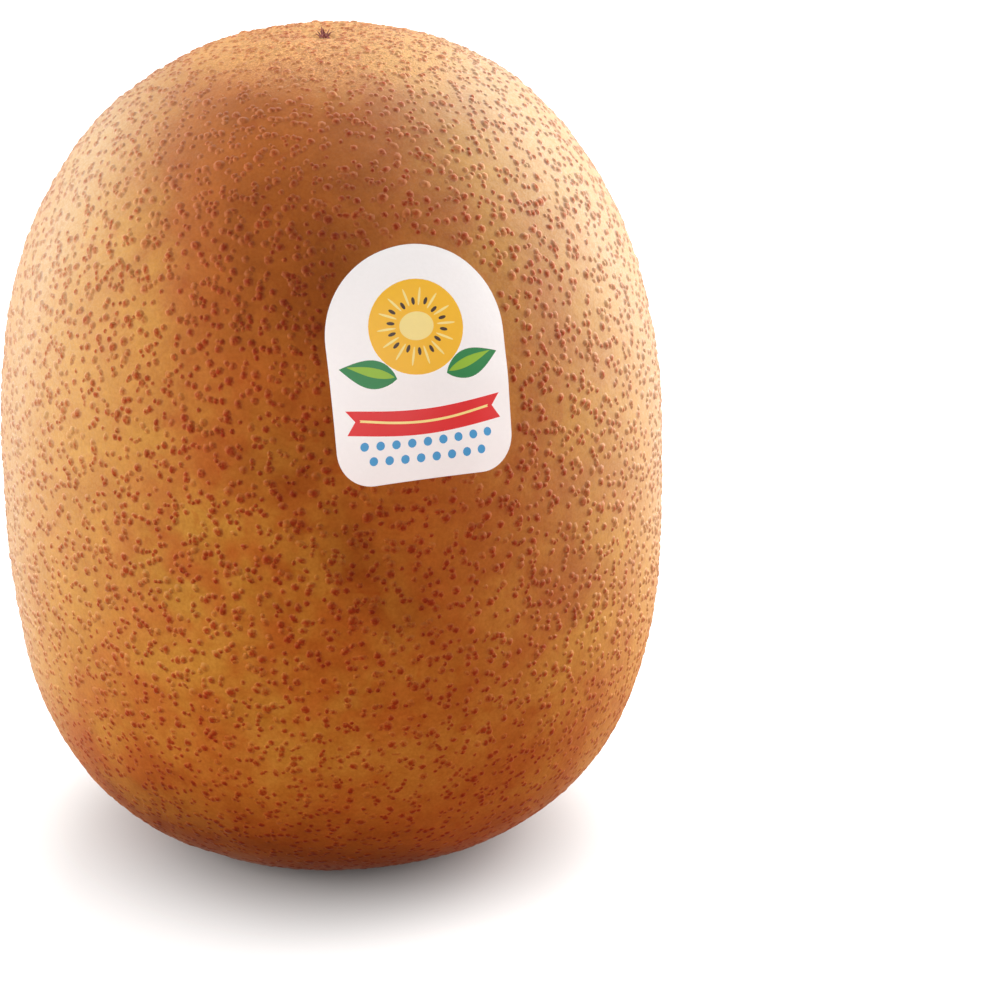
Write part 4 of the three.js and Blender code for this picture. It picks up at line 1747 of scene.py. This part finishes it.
@dataclass
class FruitLabel:
    """The domed label with a plain printed design: a round slice, two leaves, a ribbon and dots.

    Args:
        form: the fruit's form.
        seat: where it sits.
        lift: how far its face is above the skin in mm.
        thickness: its thickness in mm.
        grid: size of its inner triangles in mm.
        borders: about how far its inner border lines are from its edge, in mm.
        slice_middle: the slice's middle, across and up from the label's, in mm.
        slice_radius: the slice's radius in mm.
        seeds: how many seeds the slice has.
        rays: how many pale rays it has.
        ribbon_level: how high the ribbon is, from the label's middle, in mm.
        ribbon_width: its width in mm.
        ribbon_margin: how far its ends are from the sheet's sides, in mm.
        stripe_width: width of the stripe along it in mm.
        stripe_inset: how much shorter the stripe is at each end, in mm.
        dot_levels: how high each row of dots is, from the label's middle, in mm.
        dot_radius: radius of a dot in mm.
        dot_spacing: how far the dots of a row are apart in mm.
        dot_arch: how fast a row rises towards its ends, in mm by the dot's number squared.
    """

    form: FruitForm
    seat: LabelSeat
    lift: float = 0.2
    thickness: float = 0.09
    grid: float = 0.45
    borders: tuple[float, ...] = (0.3, 0.65)
    slice_middle: tuple[float, float] = (0.0, 2.6)
    slice_radius: float = 4.0
    seeds: int = 14
    rays: int = 14
    ribbon_level: float = -4.4
    ribbon_width: float = 2.0
    ribbon_margin: float = 1.0
    stripe_width: float = 0.2
    stripe_inset: float = 1.1
    dot_levels: tuple[float, ...] = (-6.75, -8.0)
    dot_radius: float = 0.36
    dot_spacing: float = 1.32
    dot_arch: float = 0.016

    def build(self) -> bpy.types.Object:
        """Cut the sheet along its print, wrap it round the fruit and close it.

        Returns:
            The piece, with a material number a face for each ink.
        """
        prints = self.prints()
        flat, triangles, inks = self._cut(prints)
        directions = self.seat.directions(flat)
        base, normals = self.form.skin(directions), self.form.normals(directions)
        front = base + normals * self.lift
        back = front - normals * self.thickness
        count = len(flat)
        rim = self._rim(triangles)
        walls = np.stack([rim[:, 0], rim[:, 0] + count, rim[:, 1] + count, rim[:, 1]], axis=1)
        faces = [triangles, triangles[:, ::-1] + count, walls]
        piece = MeshMaker.build("fruit_label_sheet", np.concatenate([front, back]), faces)
        numbers = np.concatenate([inks, np.zeros(len(triangles) + len(walls), int)]).astype(np.int32)
        piece.data.polygons.foreach_set("material_index", numbers)
        piece.data.shade_flat()
        smooth = np.concatenate([np.ones(2 * len(triangles), bool), np.zeros(len(walls), bool)])
        piece.data.polygons.foreach_set("use_smooth", smooth)
        self._crease(piece, rim, count)
        return piece

    @staticmethod
    def _crease(piece: bpy.types.Object, rim: Points, count: int) -> None:
        """Keep the edges of the sheet crisp, front and back.

        Args:
            piece: the sheet.
            rim: the edges of its face, one pair of vertex numbers a row.
            count: how many vertices its face has.
        """
        creased = {(min(a, b) + side, max(a, b) + side) for a, b in rim.tolist() for side in (0, count)}
        ends = np.empty(2 * len(piece.data.edges), np.int32)
        piece.data.edges.foreach_get("vertices", ends)
        crisp = [(min(a, b), max(a, b)) in creased for a, b in ends.reshape(-1, 2).tolist()]
        piece.data.edges.foreach_set("use_edge_sharp", crisp)

    def prints(self) -> list[Print]:
        """Lay out the printed shapes.

        Returns:
            The shapes, lowest first.
        """
        x, y = self.slice_middle
        radius = self.slice_radius
        shapes = []
        for side in (-1, 1):
            shapes.append(Print(Ink.LEAF, self._leaf((side * 2.1, y - 4.1), 4.9, 1.15, side * 0.32)))
            shapes.append(Print(Ink.LIME, self._leaf((side * 2.3, y - 3.95), 4.1, 0.38, side * 0.36)))
        shapes.append(Print(Ink.GOLD, self._oval((x, y), radius, radius)))
        shapes.append(Print(Ink.CREAM, self._oval((x, y), 0.36 * radius, 0.3 * radius)))
        for index in range(self.rays):
            turn = 2 * math.pi * index / self.rays
            at = (x + 0.63 * radius * math.cos(turn), y + 0.63 * radius * math.sin(turn))
            shapes.append(Print(Ink.CREAM, self._oval(at, 0.2 * radius, 0.1, turn, 12)))
        for index in range(self.seeds):
            turn = 2 * math.pi * (index + 0.5) / self.seeds
            reach = radius * (0.56 + 0.04 * math.cos(5 * turn))
            at = (x + reach * math.cos(turn), y + 0.94 * reach * math.sin(turn))
            shapes.append(Print(Ink.SEED, self._oval(at, 0.34, 0.15, turn, 10)))
        shapes.append(Print(Ink.RED, self._ribbon(self.ribbon_width)))
        shapes.append(Print(Ink.CREAM, self._ribbon(self.stripe_width, self.stripe_inset)))
        for row, level in enumerate(self.dot_levels):
            for index in range(-4, 5 - row):
                at = (self.dot_spacing * (index + 0.5 * row), level + self.dot_arch * index**2)
                shapes.append(Print(Ink.BLUE, self._oval(at, self.dot_radius, self.dot_radius, 0, 14)))
        return shapes

    @staticmethod
    def _oval(
        middle: tuple[float, float], long: float, short: float, turn: float = 0.0, steps: int = 48
    ) -> Points:
        """Trace an oval.

        Args:
            middle: its middle in mm.
            long: its first half-axis in mm.
            short: its second half-axis in mm.
            turn: how far the first half-axis is turned from level, as an angle.
            steps: points round it.

        Returns:
            The outline anticlockwise, one point a row.
        """
        angle = 2 * math.pi * np.arange(steps) / steps
        x, y = long * np.cos(angle), short * np.sin(angle)
        cos, sin = math.cos(turn), math.sin(turn)
        return np.stack([middle[0] + x * cos - y * sin, middle[1] + x * sin + y * cos], axis=1)

    @staticmethod
    def _leaf(root: tuple[float, float], length: float, half_width: float, turn: float) -> Points:
        """Trace a pointed leaf.

        Args:
            root: its root in mm.
            length: its length in mm.
            half_width: half its width in mm.
            turn: how far it is raised from level, as an angle, positive to the right.

        Returns:
            The outline anticlockwise, one point a row.
        """
        side = 1.0 if turn > 0 else -1.0
        share = np.linspace(0, 1, 16)
        bulge = half_width * np.sin(math.pi * share**0.8)
        x = np.concatenate([share, share[-2:0:-1]]) * length
        y = np.concatenate([-bulge, bulge[-2:0:-1]])
        lean = abs(turn)
        x, y = x * math.cos(lean) - y * math.sin(lean), x * math.sin(lean) + y * math.cos(lean)
        points = np.stack([root[0] + side * x, root[1] + y], axis=1)
        return points if side > 0 else points[::-1]

    def _ribbon(self, width: float, inset: float = 0.0) -> Points:
        """Trace a ribbon across the sheet, sagging in the middle, with notched ends.

        Args:
            width: its width in mm.
            inset: how much shorter it is at each end, in mm.

        Returns:
            The outline anticlockwise, one point a row.
        """
        level = self.ribbon_level
        half = self.seat.width / 2 - self.ribbon_margin - inset
        x = np.linspace(-half, half, 25)
        sag = level - 0.75 * np.cos(0.5 * math.pi * x / half)
        lower = np.stack([x, sag - width / 2], axis=1)
        upper = np.stack([x, sag + width / 2], axis=1)[::-1]
        notch = 0.37 * width
        right = np.array([[half - notch, level]])
        left = np.array([[notch - half, level]])
        return np.concatenate([lower, right, upper, left])

    def _cut(self, prints: list[Print]) -> tuple[Points, Points, Points]:
        """Split the flat sheet into triangles that follow the print.

        Args:
            prints: the printed shapes, lowest first.

        Returns:
            The flat points, the triangles, and the number of each triangle's ink.
        """
        outline = self.seat.outline()
        loops = [outline, *(shape.outline for shape in prints)]
        across = np.arange(-self.seat.width / 2, self.seat.width / 2, self.grid)
        up = np.arange(-self.seat.height / 2, self.seat.height / 2, self.grid)
        grid = np.stack([axis.ravel() for axis in np.meshgrid(across, up)], axis=1)
        reach = np.linalg.norm(outline, axis=1, keepdims=True)
        borders = [outline * (1 - inset / reach) for inset in self.borders]
        grid = grid[self._within(grid, outline * (1 - (self.borders[-1] + 0.6 * self.grid) / reach))]
        corners = np.concatenate([*loops, *borders, grid])
        starts = np.cumsum([0, *(len(loop) for loop in loops)])
        polygons = [list(range(start, start + len(loop))) for start, loop in zip(starts, loops)]
        vertices = [Vector(point) for point in corners.tolist()]
        points, _, faces, _, _, sources = delaunay_2d_cdt(vertices, [], polygons, 1, 1e-5)
        order = list(Ink)
        inks = [0 if not any(source) else order.index(prints[max(source) - 1].ink) for source in sources]
        triangles = np.array([list(face) for face in faces])
        flat = np.array([list(point) for point in points])
        return flat, self._anticlockwise(flat, triangles), np.array(inks)

    @staticmethod
    def _within(points: Points, outline: Points) -> Points:
        """Tell which points a closed outline holds.

        Args:
            points: the points, one a row.
            outline: the outline, one point a row.

        Returns:
            True or False for each point.
        """
        inside = np.zeros(len(points), bool)
        for start, end in zip(outline, np.roll(outline, -1, axis=0)):
            if start[1] == end[1]:
                continue
            crosses = (start[1] > points[:, 1]) != (end[1] > points[:, 1])
            at = start[0] + (points[:, 1] - start[1]) * (end[0] - start[0]) / (end[1] - start[1])
            inside ^= crosses & (points[:, 0] < at)
        return inside

    @staticmethod
    def _anticlockwise(flat: Points, triangles: Points) -> Points:
        """Turn every triangle so that it runs anticlockwise.

        Args:
            flat: the flat points, one a row.
            triangles: the triangles.

        Returns:
            The triangles, turned.
        """
        a, b, c = (flat[triangles[:, corner]] for corner in range(3))
        area = (b[:, 0] - a[:, 0]) * (c[:, 1] - a[:, 1]) - (b[:, 1] - a[:, 1]) * (c[:, 0] - a[:, 0])
        return np.where(area[:, None] < 0, triangles[:, ::-1], triangles)

    @staticmethod
    def _rim(triangles: Points) -> Points:
        """Find the edges that only one triangle has.

        Args:
            triangles: the triangles.

        Returns:
            One pair of vertex numbers a row, in the direction of the edge's triangle.
        """
        edges = np.concatenate([triangles[:, [0, 1]], triangles[:, [1, 2]], triangles[:, [2, 0]]])
        held = {(int(a), int(b)) for a, b in edges}
        return np.array([edge for edge in sorted(held) if edge[::-1] not in held])


# ---- studio -------------------------------------------------------------------------------------


@dataclass(frozen=True)
class Softbox:
    """A rectangular soft light.

    Args:
        name: its name.
        azimuth: where it stands, in degrees from the front towards +X.
        elevation: how high, in degrees.
        distance: how far from the fruit, in metres.
        size: its width and height in metres.
        power: in watts.
    """

    name: str
    azimuth: float
    elevation: float
    distance: float
    size: tuple[float, float]
    power: float

    def build(self, aim: Vector) -> None:
        """Hang the light and turn it to the fruit.

        Args:
            aim: the point that it looks at.
        """
        data = bpy.data.lights.new(self.name, "AREA")
        data.shape = "RECTANGLE"
        data.size, data.size_y = self.size
        data.energy = self.power
        lamp = bpy.data.objects.new(self.name, data)
        a, e = math.radians(self.azimuth), math.radians(self.elevation)
        back = Vector((math.sin(a) * math.cos(e), -math.cos(a) * math.cos(e), math.sin(e)))
        lamp.location = aim + back * self.distance
        lamp.rotation_euler = (-back).to_track_quat("-Z", "Y").to_euler()
        lamp.visible_camera = False
        bpy.context.scene.collection.objects.link(lamp)


@dataclass
class Studio:
    """A plain pale floor, soft lights and the camera.

    Args:
        form: the fruit's form, which the camera and the lights aim at.
        camera_elevation: how far above level the camera is, in degrees.
        camera_distance: how far from the girth's middle it is, in metres.
        pixels_per_mm: pixels that one mm takes up at the girth's middle.
        picture_size: width of the picture in pixels.
        girth_pixel: where the girth's middle shows, from the top left.
        sensor: width of the camera's sensor in mm.
        floor_radius: radius of the floor in metres.
        floor_sides: sides of the floor.
        fill: how strongly the surroundings light the fruit, where 1 is how they show.
        shown_floor: the floor's colour as the camera sees it.
        warm_floor: the floor's colour in the light that it throws back.
        glow: how strongly the floor glows for the camera, away from the fruit; dimmer near the fruit, it
            paints a shadow round the foot.
        painted_shadow_range: distances from the fruit's foot between which the glow sets in, in mm, which
            bound the painted shadow.
        boxes: the lights.
    """

    form: FruitForm
    camera_elevation: float = 20.0
    camera_distance: float = 0.3
    pixels_per_mm: float = 11.0
    picture_size: float = 1000.0
    girth_pixel: tuple[float, float] = (334.9, 477.6)
    sensor: float = 36.0
    floor_radius: float = 4.0
    floor_sides: int = 64
    fill: float = 0.15
    shown_floor: Colour = (0.41, 0.39, 0.375)
    warm_floor: Colour = (0.36, 0.17, 0.12)
    glow: float = 0.80
    painted_shadow_range: tuple[float, float] = (10.0, 34.0)
    boxes: tuple[Softbox, ...] = (
        Softbox("left_key", -76, 8, 0.50, (0.45, 0.40), 3.8),
        Softbox("front_box", 8, 12, 0.50, (0.40, 0.40), 1.1),
        Softbox("right_key", 72, 8, 0.50, (0.34, 0.40), 0.9),
        Softbox("left_rim", -120, 13, 0.50, (0.30, 0.40), 1.5),
        Softbox("right_rim", 118, 20, 0.50, (0.34, 0.50), 4.9),
        Softbox("back_box", 168, 54, 0.50, (0.40, 0.40), 2.3),
    )

    def build(self) -> None:
        """Set up the camera, the floor, the surroundings and the lights."""
        aim = Vector((0, 0, self.form.girth_height * MM))
        self._camera(aim)
        self._floor()
        self._surroundings()
        for box in self.boxes:
            box.build(aim)
        bpy.context.scene.view_settings.view_transform = "Standard"

    def _camera(self, aim: Vector) -> None:
        """Place the camera and turn it so that the girth's middle falls on its pixel.

        Args:
            aim: the girth's middle.
        """
        focal_pixels = self.pixels_per_mm * self.camera_distance / MM
        data = bpy.data.cameras.new("camera")
        data.sensor_width = self.sensor
        data.lens = self.sensor * focal_pixels / self.picture_size
        data.clip_start, data.clip_end = 0.01, 20.0
        camera = bpy.data.objects.new("camera", data)
        tilt = math.radians(self.camera_elevation)
        back = Vector((0, -math.cos(tilt), math.sin(tilt)))
        camera.location = aim + back * self.camera_distance
        middle = self.picture_size / 2
        yaw = math.atan((self.girth_pixel[0] - middle) / focal_pixels)
        pitch = math.atan((self.girth_pixel[1] - middle) / focal_pixels)
        look = (-back).to_track_quat("-Z", "Y").to_matrix()
        turned = look @ Matrix.Rotation(yaw, 3, "Y") @ Matrix.Rotation(pitch, 3, "X")
        camera.rotation_euler = turned.to_euler()
        bpy.context.scene.collection.objects.link(camera)
        bpy.context.scene.camera = camera

    def _floor(self) -> None:
        """Lay the floor, which the fruit stands on, with a painted shadow round the fruit's foot."""
        corner = np.arange(self.floor_sides)
        turn = 2 * math.pi * corner / self.floor_sides
        rim = np.stack([np.cos(turn), np.sin(turn), 0 * turn], axis=1) * self.floor_radius / MM
        floor = MeshMaker.build("floor", rim, [corner[None, :]])
        board = Board("floor")
        seen = board.tree.nodes.new("ShaderNodeLightPath").outputs["Is Camera Ray"]
        board.set(
            Base_Color=board.mix(seen, self.warm_floor, self.shown_floor),
            Roughness=0.6,
            Specular_IOR_Level=0.2,
        )
        reach = board.tree.nodes.new("ShaderNodeVectorMath")
        reach.operation = "LENGTH"
        board.join(board.place, reach.inputs[0])
        # Painted shadow: the floor glows only away from the fruit, so it stays dim round the foot.
        glow_beyond_painted_shadow = board.between(reach.outputs["Value"], *self.painted_shadow_range, (0.0, self.glow))
        board.set(Emission_Color=(1.0, 1.0, 1.0), Emission_Strength=board.times(seen, glow_beyond_painted_shadow))
        floor.data.materials.append(board.material)

    def _surroundings(self) -> None:
        """Surround the fruit with white that lights it less than it shows."""
        world = bpy.data.worlds.new("studio")
        world.use_nodes = True
        bpy.context.scene.world = world
        tree = world.node_tree
        tree.nodes.clear()
        shown, fill = (tree.nodes.new("ShaderNodeBackground") for _ in range(2))
        for white, strength in ((shown, 1.0), (fill, self.fill)):
            white.inputs["Color"].default_value = (1.0, 1.0, 1.0, 1.0)
            white.inputs["Strength"].default_value = strength
        path, mixed = tree.nodes.new("ShaderNodeLightPath"), tree.nodes.new("ShaderNodeMixShader")
        output = tree.nodes.new("ShaderNodeOutputWorld")
        tree.links.new(path.outputs["Is Camera Ray"], mixed.inputs["Fac"])
        tree.links.new(fill.outputs["Background"], mixed.inputs[1])
        tree.links.new(shown.outputs["Background"], mixed.inputs[2])
        tree.links.new(mixed.outputs["Shader"], output.inputs["Surface"])


# ---- assembly -----------------------------------------------------------------------------------


def report(piece: bpy.types.Object) -> None:
    """Log a finished piece."""
    LOG.info("%s: %d faces", piece.name, len(piece.data.polygons))


def main() -> None:
    """Build and dress every piece of the fruit, then the studio."""
    logging.basicConfig(level=logging.INFO, format="%(name)s: %(message)s")
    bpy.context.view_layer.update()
    form, ripening = FruitForm(), Ripening()
    seat = LabelSeat(form)

    skin = Skin(form, ripening).build()
    install(skin, "kiwi_fruit", [SkinFinish().material()])
    report(skin)

    crust = SkinFinish("pore_crust", roughness=0.45, gloss=0.16, gleam=(1.0, 0.78, 0.58)).material()
    for pores in PoreField(form, seat, ripening).pieces():
        install(pores, "kiwi_fruit", [crust])
        report(pores)

    hairs = HairField(form, seat).build()
    install(hairs, "kiwi_fruit", [HairFinish().material()])
    report(hairs)

    styles = DriedStyles(form).build()
    withered = WoodyFinish("dried_flower", (0.045, 0.010, 0.010), (0.50, 0.17, 0.15), 0.25)
    install(styles, "dried_styles", [withered.material()])
    report(styles)

    scar = StemScar(form).build()
    woody = WoodyFinish("stalk_scar", (0.045, 0.022, 0.010), (0.26, 0.15, 0.075), 0.5)
    install(scar, "stem_scar", [woody.material()])
    report(scar)

    label = FruitLabel(form, seat).build()
    finish = LabelFinish()
    install(label, "fruit_label", [finish.material(ink) for ink in Ink])
    report(label)

    Studio(form).build()


if __name__ == "__main__":
    main()
